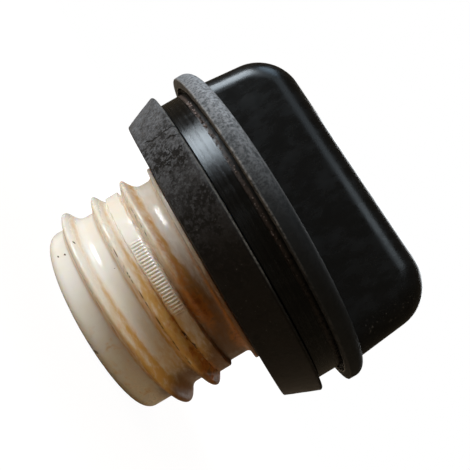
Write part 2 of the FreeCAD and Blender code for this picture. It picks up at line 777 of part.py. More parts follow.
def valve_housing():
    """Flanged cup in the plug's boss, with the seat of the pressure valve."""
    body = new_body("valve_housing")
    groove_low = "(housing_foot + oring_height - oring_wire_radius - oring_groove_play)"
    groove_high = "(housing_foot + oring_height + oring_wire_radius + oring_groove_play)"
    flange_radius = f"({SPIGOT_RADIUS} + housing_flange_reach)"
    flange_top = f"({BOSS_TOP} + housing_flange_thickness)"
    recess = "(guard_radius + guard_fit)"
    lip_outer = "(seat_lip_radius + seat_lip_width)"
    keeper_edge = f"({UPPER_BORE} - keeper_lip)"
    revolve(body, "housing_turned", [
        (recess, "housing_foot"),
        (SPIGOT_RADIUS, "housing_foot"),
        (SPIGOT_RADIUS, groove_low),
        (GROOVE_RADIUS, groove_low),
        (GROOVE_RADIUS, groove_high),
        (SPIGOT_RADIUS, groove_high),
        (SPIGOT_RADIUS, BOSS_TOP),
        (flange_radius, BOSS_TOP),
        (flange_radius, flange_top),
        (SPIGOT_RADIUS, flange_top),
        (SPIGOT_RADIUS, HOUSING_TOP),
        (keeper_edge, HOUSING_TOP),
        (keeper_edge, KEEPER_TOP),
        (UPPER_BORE, KEEPER_TOP),
        (UPPER_BORE, WEB_TOP),
        (lip_outer, WEB_TOP),
        (lip_outer, SEAT),
        ("seat_lip_radius", SEAT),
        ("seat_lip_radius", WEB_TOP),
        ("seat_hole_radius", WEB_TOP),
        ("seat_hole_radius", WEB_BOTTOM),
        ("housing_lower_radius", WEB_BOTTOM),
        ("housing_lower_radius", "housing_foot + guard_thickness"),
        (recess, "housing_foot + guard_thickness"),
    ])
    return body


def housing_o_ring():
    """Rubber ring squeezed flat between the housing's groove and the boss."""
    body = new_body("housing_o_ring")
    middle = "(housing_foot + oring_height)"
    inner, outer = GROOVE_RADIUS, "valve_bore_radius"
    revolve(body, "ring_turned", [
        (inner, f"{middle} - oring_flat"),
        ("valve_bore_radius - oring_wire_radius", f"{middle} - oring_wire_radius"),
        (outer, f"{middle} - oring_flat"),
        (outer, f"{middle} + oring_flat"),
        ("valve_bore_radius - oring_wire_radius", f"{middle} + oring_wire_radius"),
        (inner, f"{middle} + oring_flat"),
    ])
    return body


def pressure_plate():
    """Disc of the pressure valve, with the vacuum valve's nose below and a spring guide above."""
    body = new_body("pressure_plate")
    edge = f"({UPPER_BORE} - plate_clearance)"
    revolve(body, "plate_turned", [
        ("plate_hole_radius", f"{NOSE}"),
        ("nose_radius", NOSE),
        ("nose_radius", PLATE_BOTTOM),
        (edge, PLATE_BOTTOM),
        (edge, PLATE_TOP),
        ("guide_radius", PLATE_TOP),
        ("guide_radius", f"{PLATE_TOP} + guide_height"),
        ("guide_radius - guide_wall", f"{PLATE_TOP} + guide_height"),
        ("guide_radius - guide_wall", PLATE_TOP),
        ("plate_hole_radius", PLATE_TOP),
    ])
    return body


def pressure_seal():
    return ring_body("pressure_seal", "pressure_seal_bore", "pressure_seal_radius", SEAT, PLATE_BOTTOM)


def coil_spring(label, radius, wire, bottom, top, turns):
    """Compression spring of a faceted wire between two seats."""
    wire_radius = number(wire) / 2.0
    mean = number(radius)
    low, high = number(bottom) + wire_radius, number(top) - wire_radius
    path = Part.makeHelix((high - low) / number(turns), high - low, mean)
    path.translate(V(0, 0, low))
    corners = []
    for index in range(WIRE_SIDES + 1):
        angle = math.radians(FULL_TURN * (index + 0.5) / WIRE_SIDES)
        corners.append(V(mean + wire_radius * math.sin(angle), 0, low + wire_radius * math.cos(angle)))
    section = Part.makePolygon(corners)
    shell = Part.BRepOffsetAPI.MakePipeShell(Part.Wire(path.Edges))
    shell.setBiNormalMode(V(0, 0, 1))
    shell.add(section)
    shell.build()
    shell.makeSolid()
    return coded_shape(label, shell.shape())


def pressure_spring():
    return coil_spring("pressure_spring", "pressure_spring_radius", "pressure_spring_wire",
                       PLATE_TOP, KEEPER_BOTTOM, "pressure_spring_turns")


def spring_keeper():
    """Snap-in disc that holds the pressure spring down."""
    return ring_body("spring_keeper", "keeper_hole_radius", f"{UPPER_BORE} - keeper_fit",
                     KEEPER_BOTTOM, KEEPER_TOP)


def vacuum_poppet():
    """Mushroom-shaped vacuum valve: head under the nose, stem through the plate."""
    body = new_body("vacuum_poppet")
    revolve(body, "poppet_turned", [
        ("0", POPPET_BOTTOM),
        ("poppet_radius", POPPET_BOTTOM),
        ("poppet_radius", POPPET_TOP),
        ("stem_radius", POPPET_TOP),
        ("stem_radius", CLIP_BOTTOM),
        ("clip_neck_radius", CLIP_BOTTOM),
        ("clip_neck_radius", CLIP_TOP),
        ("stem_radius", CLIP_TOP),
        ("stem_radius", f"{CLIP_TOP} + stem_tip"),
        ("0", f"{CLIP_TOP} + stem_tip"),
    ])
    return body


def vacuum_seal():
    return ring_body("vacuum_seal", "vacuum_seal_bore", "vacuum_seal_radius", POPPET_TOP, NOSE)


def vacuum_spring():
    return coil_spring("vacuum_spring", "vacuum_spring_radius", "vacuum_spring_wire",
                       PLATE_TOP, CLIP_BOTTOM, "vacuum_spring_turns")


def vacuum_clip():
    """Push-on clip in the neck of the stem."""
    body = ring_body("vacuum_clip", "clip_neck_radius", "clip_radius", CLIP_BOTTOM, CLIP_TOP)
    slot = new_sketch(body, "clip_slot_outline", "XY_Plane", lift=CLIP_BOTTOM)
    half = "clip_slot_width / 2"
    outline(slot, [
        ("0", f"-({half})"),
        ("clip_radius * 2", f"-({half})"),
        ("clip_radius * 2", half),
        ("0", half),
    ])
    pad(body, "clip_slot", slot, "clip_thickness", kind="PartDesign::Pocket", reverse=True)
    return body


def valve_guard():
    """Perforated disc that closes the valve's mouth at the end of the plug."""
    body = new_body("valve_guard")
    disc = new_sketch(body, "guard_outline", "XY_Plane", lift="housing_foot")
    round_line(disc, "guard_radius", "rim")
    pad(body, "guard_disc", disc, "guard_thickness")
    hole = new_sketch(body, "guard_hole_outline", "XY_Plane", lift="housing_foot")
    round_line(hole, "guard_hole_radius", "hole", across="guard_hole_circle")
    one_hole = pad(body, "guard_hole", hole, "guard_thickness", kind="PartDesign::Pocket", reverse=True)
    spread(body, "guard_holes", one_hole, "guard_hole_count")
    return body


PIECES = [
    plug_body, seal_ring, grip_cap, retaining_ring, slip_washer, inner_cover, ratchet_ring,
    valve_housing, housing_o_ring, pressure_plate, pressure_seal, pressure_spring, spring_keeper,
    vacuum_poppet, vacuum_seal, vacuum_spring, vacuum_clip, valve_guard,
]


def main():
    made = [piece() for piece in PIECES]
    doc.recompute()
    for thing in doc.Objects:
        if "Invalid" in thing.State or "Error" in thing.State:
            raise RuntimeError(f"{thing.Name} failed: {thing.State}")
    for thing in made:
        if thing.Shape.isNull() or not thing.Shape.isValid():
            raise RuntimeError(f"{thing.Label} has no valid shape")
    os.makedirs("parts", exist_ok=True)
    for thing in made:
        thing.Shape.exportStep(f"parts/{thing.Label}.step")
        box = thing.Shape.BoundBox
        print(f"{thing.Label:18s} solids {len(thing.Shape.Solids)} volume {thing.Shape.Volume:10.1f}"
              f" z {box.ZMin:7.2f} to {box.ZMax:7.2f} radius {box.XMax:6.2f}")


main()
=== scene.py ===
import json
import math

import bmesh
import bpy
from mathutils import Matrix, Vector, noise


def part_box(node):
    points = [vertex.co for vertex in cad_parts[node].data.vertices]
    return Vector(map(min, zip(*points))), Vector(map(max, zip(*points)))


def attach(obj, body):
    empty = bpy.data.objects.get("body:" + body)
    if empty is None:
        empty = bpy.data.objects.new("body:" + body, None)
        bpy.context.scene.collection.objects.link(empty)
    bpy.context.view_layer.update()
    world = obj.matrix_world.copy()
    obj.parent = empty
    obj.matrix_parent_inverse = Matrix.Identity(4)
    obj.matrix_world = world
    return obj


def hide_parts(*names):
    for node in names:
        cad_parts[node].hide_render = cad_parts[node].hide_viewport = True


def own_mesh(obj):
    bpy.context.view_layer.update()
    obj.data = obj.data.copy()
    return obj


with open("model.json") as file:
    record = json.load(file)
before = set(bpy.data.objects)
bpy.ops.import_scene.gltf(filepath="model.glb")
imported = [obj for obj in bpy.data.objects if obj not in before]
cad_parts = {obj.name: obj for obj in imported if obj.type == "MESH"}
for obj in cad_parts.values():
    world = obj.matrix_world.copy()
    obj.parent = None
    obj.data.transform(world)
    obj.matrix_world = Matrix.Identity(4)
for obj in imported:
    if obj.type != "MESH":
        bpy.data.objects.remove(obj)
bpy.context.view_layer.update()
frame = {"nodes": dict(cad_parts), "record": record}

# Looks of a screw-in fuel cap: stained ivory screw plug, dusty rubber seal, black cap with a bar handle.
# Sizes are millimetres, turned into the frame's metres by MM; angles are degrees, except the camera's.

MM = 0.001
FULL_TURN = 360.0
SMOOTH_ANGLE = 40.0
SEAL_SMOOTH_ANGLE = 50.0
GRIT_SMOOTH_ANGLE = 60.0
CAP_SMOOTH_ANGLE = 32.0
TINY = 1e-6

# Plug
PLUG_ROOT = 24.2
PLUG_INNER = 21.4
PLUG_END_ROUND = 2.2
FLOOR_LOW = 3.0
FLOOR_HIGH = 5.5
BOSS_RADIUS = 14.0
BOSS_LOW = 1.6
BOSS_HIGH = 8.0
VALVE_BORE = 11.0
FLOOR_RIBS = 6
FLOOR_RIB_WIDTH = 1.6
COLLAR_RADIUS = 26.8
COLLAR_LOW = 28.5
COLLAR_HIGH = 29.3
COLLAR_FILLET = 1.3
COLLAR_EDGE = 0.3
NECK_RADIUS = 25.2
SEAL_HIGH = 38.5
PLUG_RIM = 34.2
DECK_HIGH = 41.0
RIM_LOW = 43.4
TRACK_RADIUS = 31.0
TOOTH_ROOT = 28.3
TOOTH_DEPTH = 2.0
TOOTH_SLOPE = 9.0
TOOTH_GAP = 0.4
TOOTH_COUNT = 24
PLUG_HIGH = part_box("plug_body")[1].z / MM

# Thread ridge and ribbed land, laid out from the ridge's crest on the side at THREAD_AZIMUTH
THREAD_PITCH = 7.8
THREAD_AZIMUTH = 192.0
THREAD_HEIGHT = 5.85
THREAD_FROM = -110.0
THREAD_TO = 846.0
THREAD_FADE = 44.0
RIDGE_RISE = 3.3
RIDGE_LEAD = 1.95
RIDGE_TRAIL = 3.9
RIDGE_FLAT = 0.36
RIDGE_SOFT = 0.22
RIDGE_HOLLOW = 2.3
LAND_OFFSET = 4.1
LAND_HALF = 1.72
LAND_EDGE = 0.34
LAND_RISE = 1.4
LAND_FROM = 318.0
LAND_TO = 530.0
LAND_FADE = 10.0
RIB_FROM = 424.0
RIB_STEP = 1.75
RIB_COUNT = 24
RIB_RISE = 0.24
RIB_HALF = 1.15
RIB_COLUMNS = 5
PLAIN_COLUMNS = 236
ROW_STEP = 0.27

# Unevenness of the plug's outer wall, and the nicks near its end
SWELL = 0.05
RIPPLE = 0.02
NICK_DEPTH = 0.5
NICK_HIGH = 1.6

# Wear and painted shade of the plug: azimuths at which the stained side, which also takes painted warm
# shade, its dark far part, painted as shade, and the freckles begin, and the middle of the nicked part of
# its end
STAINED_AND_SHADED_FROM = 250.0
DARKEST_SHADE_FROM = 315.0
FRECKLED_FROM = 268.0
NICKED_AT = 296.0

# Wear along the thread, in degrees on from THREAD_AZIMUTH: where the rust strip begins, where the soot on
# the crest begins and ends, and the middles of two more soot lines, of the crumbs and of a run of rust
STRIP_FROM = 395.0
CREST_SOOT_FROM = 415.0
CREST_SOOT_TO = 530.0
LEAD_SOOT_AT = 776.0
FIRST_SOOT_AT = 85.0
CRUMBS_AT = 484.0
RUST_RUN_AT = 785.0

# Rust spots on the plug: azimuth and its spread, height and its spread, even share, patchy share
RUST_SPOTS = [
    (300.0, 17.0, 23.4, 1.9, 0.55, 0.6),
    (304.0, 7.0, 24.5, 0.8, 0.8, 0.0),
    (332.0, 16.0, 27.2, 1.2, 0.4, 0.6),
]

# Black specks on the plug: azimuth, height, radius
SPECKS = [(237.0, 2.4, 0.16), (238.5, 4.0, 0.2), (241.0, 7.6, 0.12), (262.0, 12.6, 0.1), (318.0, 4.6, 0.15)]

# Rubber seal
SEAL_LOW = 29.8
SEAL_FOOT = 28.5
SEAL_LOWER_RADIUS = 37.8
SEAL_UPPER_RADIUS = 40.8
SEAL_EDGE = 0.6
SEAL_COLUMNS = 360

# Cracks across the seal's face: bearing at mid height, lean in degrees to the millimetre, lower end
CRACKS = [(-31.0, 0.64, 31.6), (-27.1, 0.56, 35.2)]

# Rubbed black blotches on the seal: bearing, height, half width; and millimetres to a degree round it
BLOTCHES = [(-3.0, 36.2, 2.6), (10.0, 32.2, 2.0), (-24.0, 33.0, 1.8)]
DEGREE_ON_SEAL = 0.69

# Cap
SKIRT_INNER = 35.5
SKIRT_RADIUS = 38.1
SKIRT_LOW = 38.8
SNAP_LOW = 41.2
SNAP_HIGH = 43.2
SNAP_DEPTH = 0.6
FLANGE_LOW = 44.7
FLANGE_HIGH = 49.3
FLANGE_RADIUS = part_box("grip_cap")[1].x / MM
FLANGE_LOWER_ROUND = 0.4
FLANGE_UPPER_ROUND = 2.8
UNDERCUT_WIDTH = 1.6
UNDERCUT_RISE = 1.5
CEILING = 47.3
CAP_COLUMNS = 256
HANDLE_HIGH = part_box("grip_cap")[1].z / MM
HANDLE_REACH = 38.8
HANDLE_HALF_WIDTH = 13.2
HANDLE_DRAFT = 2.3
HANDLE_CORNER = 10.4
HANDLE_ROUND = 6.8
HOLLOW_REACH = 34.3
HOLLOW_HALF_WIDTH = 10.4
HOLLOW_HIGH = 67.4
HOLLOW_ROUND = 4.0

# Scuffed strip on the bar, where it begins and ends along X
SCUFF_FROM = 32.0
SCUFF_TO = 36.0
SCUFF_FADE = 1.5

# Grit in the groove: how many crumbs, the azimuths between which they lie, largest size, height of the band
GRIT_COUNT = 120
GRIT_FROM = 228.0
GRIT_TO = 300.0
GRIT_SIZE = 0.24
GRIT_BAND = 1.3

# Bearings on the far side between which the painted shade ends and the dust comes back
FAR_FROM = 95.0
FAR_TO = 165.0

# Camera: place; pan, tilt and roll in radians; turn round the cap in degrees; lens and sensor
CAMERA_PLACE = (31.18, -145.42, 32.16)
CAMERA_PAN = -0.013
CAMERA_TILT = 0.048
CAMERA_ROLL = 1.043
CAMERA_TURN = 12.1
CAMERA_LENS = 45.40
SENSOR = 36.0

# Lamps: name, azimuth, elevation, distance and size in metres, power, colour, whether it leaves a highlight
LAMPS = [
    ("window_light", 210.0, 8.0, 0.6, (0.29, 0.30), 4.2, (0.95, 0.98, 1.0), True),
    ("side_light", 200.0, 40.0, 0.7, (0.3, 0.2), 0.8, (0.66, 0.84, 1.0), True),
    ("ceiling_light", 240.0, 42.0, 0.6, (0.24, 0.26), 0.20, (0.90, 0.96, 1.0), True),
    ("upper_light", 264.0, 46.0, 0.6, (0.12, 0.26), 0.32, (0.96, 0.99, 1.0), True),
    ("back_light", 92.0, 35.0, 0.8, (0.5, 0.5), 3.5, (0.95, 0.98, 1.0), True),
    ("room_light", 342.0, 40.0, 0.7, (0.4, 0.4), 0.75, (1.0, 0.78, 0.45), False),
]

# Room and floor; the floor turns wholly white between the two distances in metres
WHITE = (1.0, 1.0, 1.0)
ROOM_COLOUR = (1.0, 0.77, 0.50)
ROOM_STRENGTH = 0.065
FLOOR_COLOUR = (0.50, 0.39, 0.28)
FLOOR_REACH = 1.5
FLOOR_GLOW = 1.1
SHADOW_NEAR = 0.04
SHADOW_FAR = 0.14
NEAR_WHITE = 0.88

# Colours of the finishes
IVORY_PALE = (0.82, 0.79, 0.74)
IVORY_DEEP = (0.78, 0.725, 0.64)
TAN_STAIN_AND_SHADE = (0.60, 0.345, 0.095)
BROWN_GRIME_AND_SHADE = (0.17, 0.070, 0.017)
RUST_LIGHT = (0.50, 0.19, 0.032)
RUST_DARK = (0.26, 0.062, 0.009)
PLUG_SOOT = (0.035, 0.021, 0.012)
RUBBER_BARE = (0.0050, 0.0038, 0.0029)
RUBBER_DUST_AND_SHADE = (0.150, 0.158, 0.172)
RUBBER_RUBBED = (0.0042, 0.0038, 0.0035)
RUBBER_EDGE_HIGHLIGHT = (0.12, 0.116, 0.108)
RUBBER_UNDERSIDE_BROWN = (0.018, 0.010, 0.005)
RUBBER_CRACK = (0.0035, 0.003, 0.0028)
CAP_BLACK = (0.0036, 0.0034, 0.0032)
CAP_DUST_AND_SHADE = (0.255, 0.268, 0.290)
CAP_LIP = (0.22, 0.21, 0.20)
CAP_FILM_AND_SHEEN = (0.012, 0.013, 0.0145)
CAP_NICK = (0.085, 0.08, 0.075)
CAP_SHEEN = (0.80, 0.91, 1.0, 1.0)
GROOVE_DIRT_AND_SHADE = (0.075, 0.052, 0.042)
GROOVE_PAINTED_SHADE = (0.003, 0.0025, 0.002)
GRIT_DARK = (0.03, 0.02, 0.016)
GRIT_PALE_GLINT = (0.42, 0.34, 0.33)

# Finishes of the inner pieces, by slot: name, two colours, roughness, scale, metallic, relief
INNER_FINISHES = {
    "spring_steel": ("drawn_steel", (0.42, 0.42, 0.43), (0.60, 0.60, 0.61), 0.28, 120.0, 1.0, 0.01),
    "white_slip_plastic": ("slip_plastic", (0.70, 0.70, 0.68), (0.80, 0.80, 0.78), 0.4, 90.0),
    "inner_plastic": ("inner_moulding", (0.05, 0.05, 0.052), (0.085, 0.085, 0.088), 0.42, 90.0),
    "valve_plastic": ("valve_moulding", (0.03, 0.03, 0.032), (0.065, 0.064, 0.062), 0.38, 110.0),
    "valve_rubber": ("valve_rubber_skin", (0.014, 0.014, 0.014), (0.03, 0.03, 0.03), 0.6, 140.0),
}

# Turn of the random lattice, so that no row of it follows the thread
LATTICE_TURN = Matrix.Rotation(0.7, 3, (0.6, 0.5, 0.62))


# Shapes


def ease(share):
    """Smooth step from 0 to 1."""
    share = min(max(share, 0.0), 1.0)
    return share * share * (3.0 - 2.0 * share)


def bell(value, centre, width):
    """1 at the centre, falling smoothly to about 0 at twice the width."""
    return math.exp(-((value - centre) / width) ** 2)


def way(start, end, step):
    """Points from start up to, and without, end, about a step apart."""
    start, end = Vector(start), Vector(end)
    count = max(int(math.ceil((end - start).length / step)), 1)
    return [tuple(start.lerp(end, index / count)) for index in range(count)]


def bend(centre, radius, first, last, count):
    """Points on an arc round the centre, without the last one; angles from the outward direction."""
    turns = [math.radians(first + (last - first) * index / count) for index in range(count)]
    return [(centre[0] + radius * math.cos(turn), centre[1] + radius * math.sin(turn)) for turn in turns]


def turned(section, stretches, azimuth=0.0):
    """Closed form turned about Z from a closed (radius, height) outline, in stretches of (angle, count)."""
    form = bmesh.new()
    corners = [form.verts.new((radius * MM, 0.0, height * MM)) for radius, height in section]
    sides = [form.edges.new((corners[index - 1], corners[index])) for index in range(len(corners))]
    last = corners + sides
    for angle, count in stretches:
        made = bmesh.ops.spin(form, geom=last, cent=(0, 0, 0), axis=(0, 0, 1), dvec=(0, 0, 0),
                              angle=math.radians(angle), steps=count, use_merge=len(stretches) == 1,
                              use_normal_flip=False, use_duplicate=False)
        last = made["geom_last"]
    bmesh.ops.remove_doubles(form, verts=form.verts, dist=0.002 * MM)
    bmesh.ops.rotate(form, verts=form.verts, cent=(0, 0, 0),
                     matrix=Matrix.Rotation(math.radians(azimuth), 3, "Z"))
    bmesh.ops.recalc_face_normals(form, faces=form.faces)
    return form


def block(form, low, high):
    """A box between two corners, as new vertices of the form."""
    low, high = Vector(low) * MM, Vector(high) * MM
    made = bmesh.ops.create_cube(form, size=1.0)["verts"]
    bmesh.ops.scale(form, verts=made, vec=high - low)
    bmesh.ops.translate(form, verts=made, vec=(low + high) / 2.0)
    return made


def ring_copies(form, vertices, count):
    """Repeats loose pieces evenly about Z."""
    faces = list({face for vertex in vertices for face in vertex.link_faces})
    edges = list({edge for vertex in vertices for edge in vertex.link_edges})
    bmesh.ops.spin(form, geom=vertices + edges + faces, cent=(0, 0, 0), axis=(0, 0, 1),
                   dvec=(0, 0, 0), angle=math.radians(FULL_TURN * (count - 1) / count),
                   steps=count - 1, use_merge=False, use_normal_flip=False, use_duplicate=True)


def finished(form, name, smooth_angle):
    """The form as an object with smooth shading up to an angle."""
    mesh = bpy.data.meshes.new(name)
    form.to_mesh(mesh)
    form.free()
    piece = bpy.data.objects.new(name, mesh)
    bpy.context.scene.collection.objects.link(piece)
    mesh.shade_smooth()
    mesh.set_sharp_from_angle(angle=math.radians(smooth_angle))
    return piece


def place_of(point):
    """Azimuth in degrees, radius and height in millimetres."""
    azimuth = math.degrees(math.atan2(point.y, point.x)) % FULL_TURN
    return azimuth, math.hypot(point.x, point.y) / MM, point.z / MM


def thread_place(azimuth, height, offset=0.0, lead=RIDGE_LEAD):
    """Distance above the nearest crest line (plus offset), and the turn along the thread."""
    turn = azimuth - THREAD_AZIMUTH
    above = height - THREAD_HEIGHT - offset - THREAD_PITCH * turn / FULL_TURN
    laps = math.floor((above + lead) / THREAD_PITCH)
    return above - laps * THREAD_PITCH, turn + laps * FULL_TURN


def ridge_profile(above):
    """Share of the ridge's rise at a distance above its crest line."""
    if above < 0.0:
        share = max(-above - RIDGE_FLAT / 2.0, 0.0) / (RIDGE_LEAD - RIDGE_FLAT / 2.0)
        return 1.0 - ease(share)
    share = min(max(above - RIDGE_FLAT, 0.0) / (RIDGE_TRAIL - RIDGE_FLAT), 1.0)
    return (1.0 - share) ** RIDGE_HOLLOW


def ridge_fade(turn):
    """1 along the thread ridge, easing to 0 at its two ends."""
    return min(ease((turn - THREAD_FROM) / THREAD_FADE), ease((THREAD_TO - turn) / THREAD_FADE))


def ridge_rise(azimuth, height):
    """Height of the thread ridge over the plug's root."""
    above, turn = thread_place(azimuth, height)
    fade = ridge_fade(turn)
    taps = (-RIDGE_SOFT, 0.0, RIDGE_SOFT)
    share = sum(ridge_profile(above + tap) for tap in taps) / len(taps)
    return RIDGE_RISE * share * fade


def land_rise(azimuth, height):
    """Height of the land and its fine ribs over the plug's root."""
    above, turn = thread_place(azimuth, height, LAND_OFFSET, THREAD_PITCH / 2.0)
    fade = min(ease((turn - LAND_FROM) / LAND_FADE), ease((LAND_TO - turn) / LAND_FADE))
    edge = ease((LAND_HALF + LAND_EDGE / 2.0 - abs(above)) / LAND_EDGE)
    rise = LAND_RISE * edge * fade
    along = (turn - RIB_FROM) / RIB_STEP
    if 0.0 < along < RIB_COUNT:
        wave = 0.5 - 0.5 * math.cos(math.tau * along)
        inside = ease((RIB_HALF + LAND_EDGE / 2.0 - abs(above)) / LAND_EDGE)
        ends = ease(min(along, RIB_COUNT - along))
        rise += RIB_RISE * wave * inside * ends
    return rise


def uneven(point, size, seed):
    """Soft random value between -1 and 1, with lumps of about this size in millimetres."""
    return noise.noise(LATTICE_TURN @ point / (size * MM) + Vector((seed, seed * 1.7, -seed)))


def screw_plug():
    """The plug as one turned form whose outer wall is raised into the ridge, the land and its ribs."""
    end_centre = (PLUG_ROOT - PLUG_END_ROUND, PLUG_END_ROUND)
    fillet_centre = (PLUG_ROOT + COLLAR_FILLET, COLLAR_LOW - COLLAR_FILLET)
    section = [(PLUG_INNER, 0.0)]
    section += bend(end_centre, PLUG_END_ROUND, -90.0, 0.0, 10)
    section += way((PLUG_ROOT, PLUG_END_ROUND), (PLUG_ROOT, COLLAR_LOW - COLLAR_FILLET), ROW_STEP)
    section += bend(fillet_centre, COLLAR_FILLET, 180.0, 90.0, 8)
    section += [(fillet_centre[0], COLLAR_LOW)]
    section += bend((COLLAR_RADIUS - COLLAR_EDGE, COLLAR_LOW + COLLAR_EDGE), COLLAR_EDGE, -90.0, 0.0, 4)
    section += [
        (COLLAR_RADIUS, COLLAR_LOW + COLLAR_EDGE),
        (COLLAR_RADIUS, COLLAR_HIGH - 0.1),
        (COLLAR_RADIUS - 0.1, COLLAR_HIGH),
        (NECK_RADIUS, COLLAR_HIGH),
        (NECK_RADIUS, SEAL_HIGH),
        (PLUG_RIM, SEAL_HIGH),
        (PLUG_RIM, DECK_HIGH),
        (TRACK_RADIUS, DECK_HIGH),
        (TRACK_RADIUS, RIM_LOW),
        (PLUG_RIM, RIM_LOW),
        (PLUG_RIM, PLUG_HIGH),
        (TOOTH_ROOT, PLUG_HIGH),
        (TOOTH_ROOT, DECK_HIGH),
        (PLUG_INNER, DECK_HIGH),
        (PLUG_INNER, FLOOR_HIGH),
        (BOSS_RADIUS, FLOOR_HIGH),
        (BOSS_RADIUS, BOSS_HIGH),
        (VALVE_BORE, BOSS_HIGH),
        (VALVE_BORE, BOSS_LOW),
        (BOSS_RADIUS, BOSS_LOW),
        (BOSS_RADIUS, FLOOR_LOW),
        (PLUG_INNER, FLOOR_LOW),
    ]
    rib_angle = RIB_STEP * (RIB_COUNT + 2)
    rib_steps = RIB_COLUMNS * (RIB_COUNT + 2)
    start = THREAD_AZIMUTH + RIB_FROM - RIB_STEP - FULL_TURN
    form = turned(section, [(rib_angle, rib_steps), (FULL_TURN - rib_angle, PLAIN_COLUMNS)], start)
    raise_thread(form)
    add_teeth(form)
    add_floor_ribs(form)
    piece = finished(form, "screw_plug", SMOOTH_ANGLE)
    paint_wear_and_shade(piece)
    return piece


def raise_thread(form):
    """Moves the outer wall's vertices out to the ridge and the land, with slight unevenness."""
    for vertex in form.verts:
        azimuth, radius, height = place_of(vertex.co)
        on_wall = radius > PLUG_ROOT - PLUG_END_ROUND + 0.1 and height < COLLAR_LOW - 0.01
        if not on_wall:
            continue
        rise = max(ridge_rise(azimuth, height), land_rise(azimuth, height))
        target = max(radius, PLUG_ROOT + rise) if rise > 0.0 else radius
        if height < PLUG_END_ROUND:
            target = radius + rise
        target += SWELL * uneven(vertex.co, 9.0, 3.1) + RIPPLE * uneven(vertex.co, 2.2, 8.4)
        nick = max(uneven(vertex.co, 1.6, 5.2) - 0.35, 0.0) * ease((NICK_HIGH - height) / NICK_HIGH)
        target -= NICK_DEPTH * nick
        vertex.co.x *= target / radius
        vertex.co.y *= target / radius


def add_teeth(form):
    """The ratchet track's teeth, each sunk a little into the track's wall."""
    top = (PLUG_HIGH - TOOTH_GAP) * MM
    low = DECK_HIGH * MM
    corners = [
        (TOOTH_ROOT + 1.0, 0.0),
        (TOOTH_ROOT - TOOTH_DEPTH, 0.0),
        (TOOTH_ROOT, TOOTH_SLOPE),
        (TOOTH_ROOT + 1.0, TOOTH_SLOPE),
    ]
    base = []
    for radius, angle in corners:
        turn = math.radians(angle)
        base.append(form.verts.new((radius * MM * math.cos(turn), radius * MM * math.sin(turn), low)))
    face = form.faces.new(base)
    made = bmesh.ops.extrude_face_region(form, geom=[face])["geom"]
    lifted = [part for part in made if isinstance(part, bmesh.types.BMVert)]
    bmesh.ops.translate(form, verts=lifted, vec=(0, 0, top - low))
    tooth = base + lifted
    faces = list({face for vertex in tooth for face in vertex.link_faces})
    bmesh.ops.recalc_face_normals(form, faces=faces)
    ring_copies(form, tooth, TOOTH_COUNT)


def add_floor_ribs(form):
    """Stiffening ribs under the plug's floor, between the boss and the wall."""
    half = FLOOR_RIB_WIDTH / 2.0
    rib = block(form, (BOSS_RADIUS - 0.5, -half, BOSS_LOW), (PLUG_INNER + 0.5, half, FLOOR_LOW + 0.3))
    ring_copies(form, rib, FLOOR_RIBS)


def paint_wear_and_shade(piece):
    """Tan, brown, rust and soot of the plug, as attributes that its material reads; the brown and part of
    the tan are painted shade.
    """
    mesh = piece.data
    names = ("tan", "brown", "rust", "soot")
    layers = {name: mesh.attributes.new(name, "FLOAT", "POINT") for name in names}
    for vertex in mesh.vertices:
        azimuth, radius, height = place_of(vertex.co)
        values = wear_and_shade_at(vertex.co, azimuth, radius, height)
        for name in names:
            layers[name].data[vertex.index].value = values[name]


def shaded_side(azimuth, start, ease_in, ease_out):
    """0 on the lit side, easing to 1 past the start and back to 0 after azimuth 0; stains and painted shade
    follow it.
    """
    if azimuth > 90.0:
        return ease((azimuth - start) / ease_in)
    return 1.0 - ease(azimuth / ease_out)


def rust_marks(azimuth, height, above, turn, patchy, low_side):
    """Rust apart from the strip beside the thread: spots, the collar, the plug's end and one run."""
    rust = 0.0
    for spot, spread, level, depth, even, uneven_share in RUST_SPOTS:
        share = even + uneven_share * patchy
        rust += bell(azimuth, spot, spread) * bell(height, level, depth) * share
    rust += bell(height, 28.0, 0.4) * (0.25 + 0.5 * low_side)
    rust += bell(height, 0.2, 0.4) * 0.3 * low_side * (0.5 + 0.5 * patchy)
    rust += 0.5 * bell(above, 0.9, 0.7) * bell(turn, RUST_RUN_AT, 30.0) * (0.3 + 0.7 * patchy)
    return rust


def soot_marks(point, azimuth, height, fine, patchy):
    """Black lines along the thread, crumbs beside it, painted shade in the crease under the collar's edge,
    the nicked end and specks.
    """
    above, turn = thread_place(azimuth, height)
    on_crest = ease((turn - CREST_SOOT_FROM) / 15.0) * ease((CREST_SOOT_TO - turn) / 40.0)
    crest_line = bell(above, -0.25, 0.13) * on_crest
    lead_line = bell(above, -0.75, 0.14) * bell(turn, LEAD_SOOT_AT, 15.0)
    first_line = 0.6 * bell(above, -1.15, 0.12) * bell(turn, FIRST_SOOT_AT, 42.0)
    crumbs = bell(above, 2.4, 0.5) * bell(turn, CRUMBS_AT, 16.0) * ease((fine - 0.56) / 0.08)
    broken = 0.45 + 0.55 * ease((0.5 + uneven(point, 1.0, 30.0)) / 0.5)
    soot = (0.66 * crest_line + 0.8 * lead_line + first_line) * broken + 0.9 * crumbs
    # Dark line in the crease under the collar's lip: painted shade.
    soot += 0.42 * bell(height, 28.35, 0.25) * (0.6 + 0.4 * patchy)
    nicked = ease((uneven(point, 1.3, 5.2) - 0.2) / 0.2)
    soot += 0.5 * bell(height, 0.6, 0.8) * bell(azimuth, NICKED_AT, 12.0) * nicked
    for spot_azimuth, spot_height, spot_size in SPECKS:
        across = math.radians(azimuth - spot_azimuth) * PLUG_ROOT
        apart = math.hypot(across, height - spot_height)
        soot += ease(1.5 - apart / spot_size)
    return soot


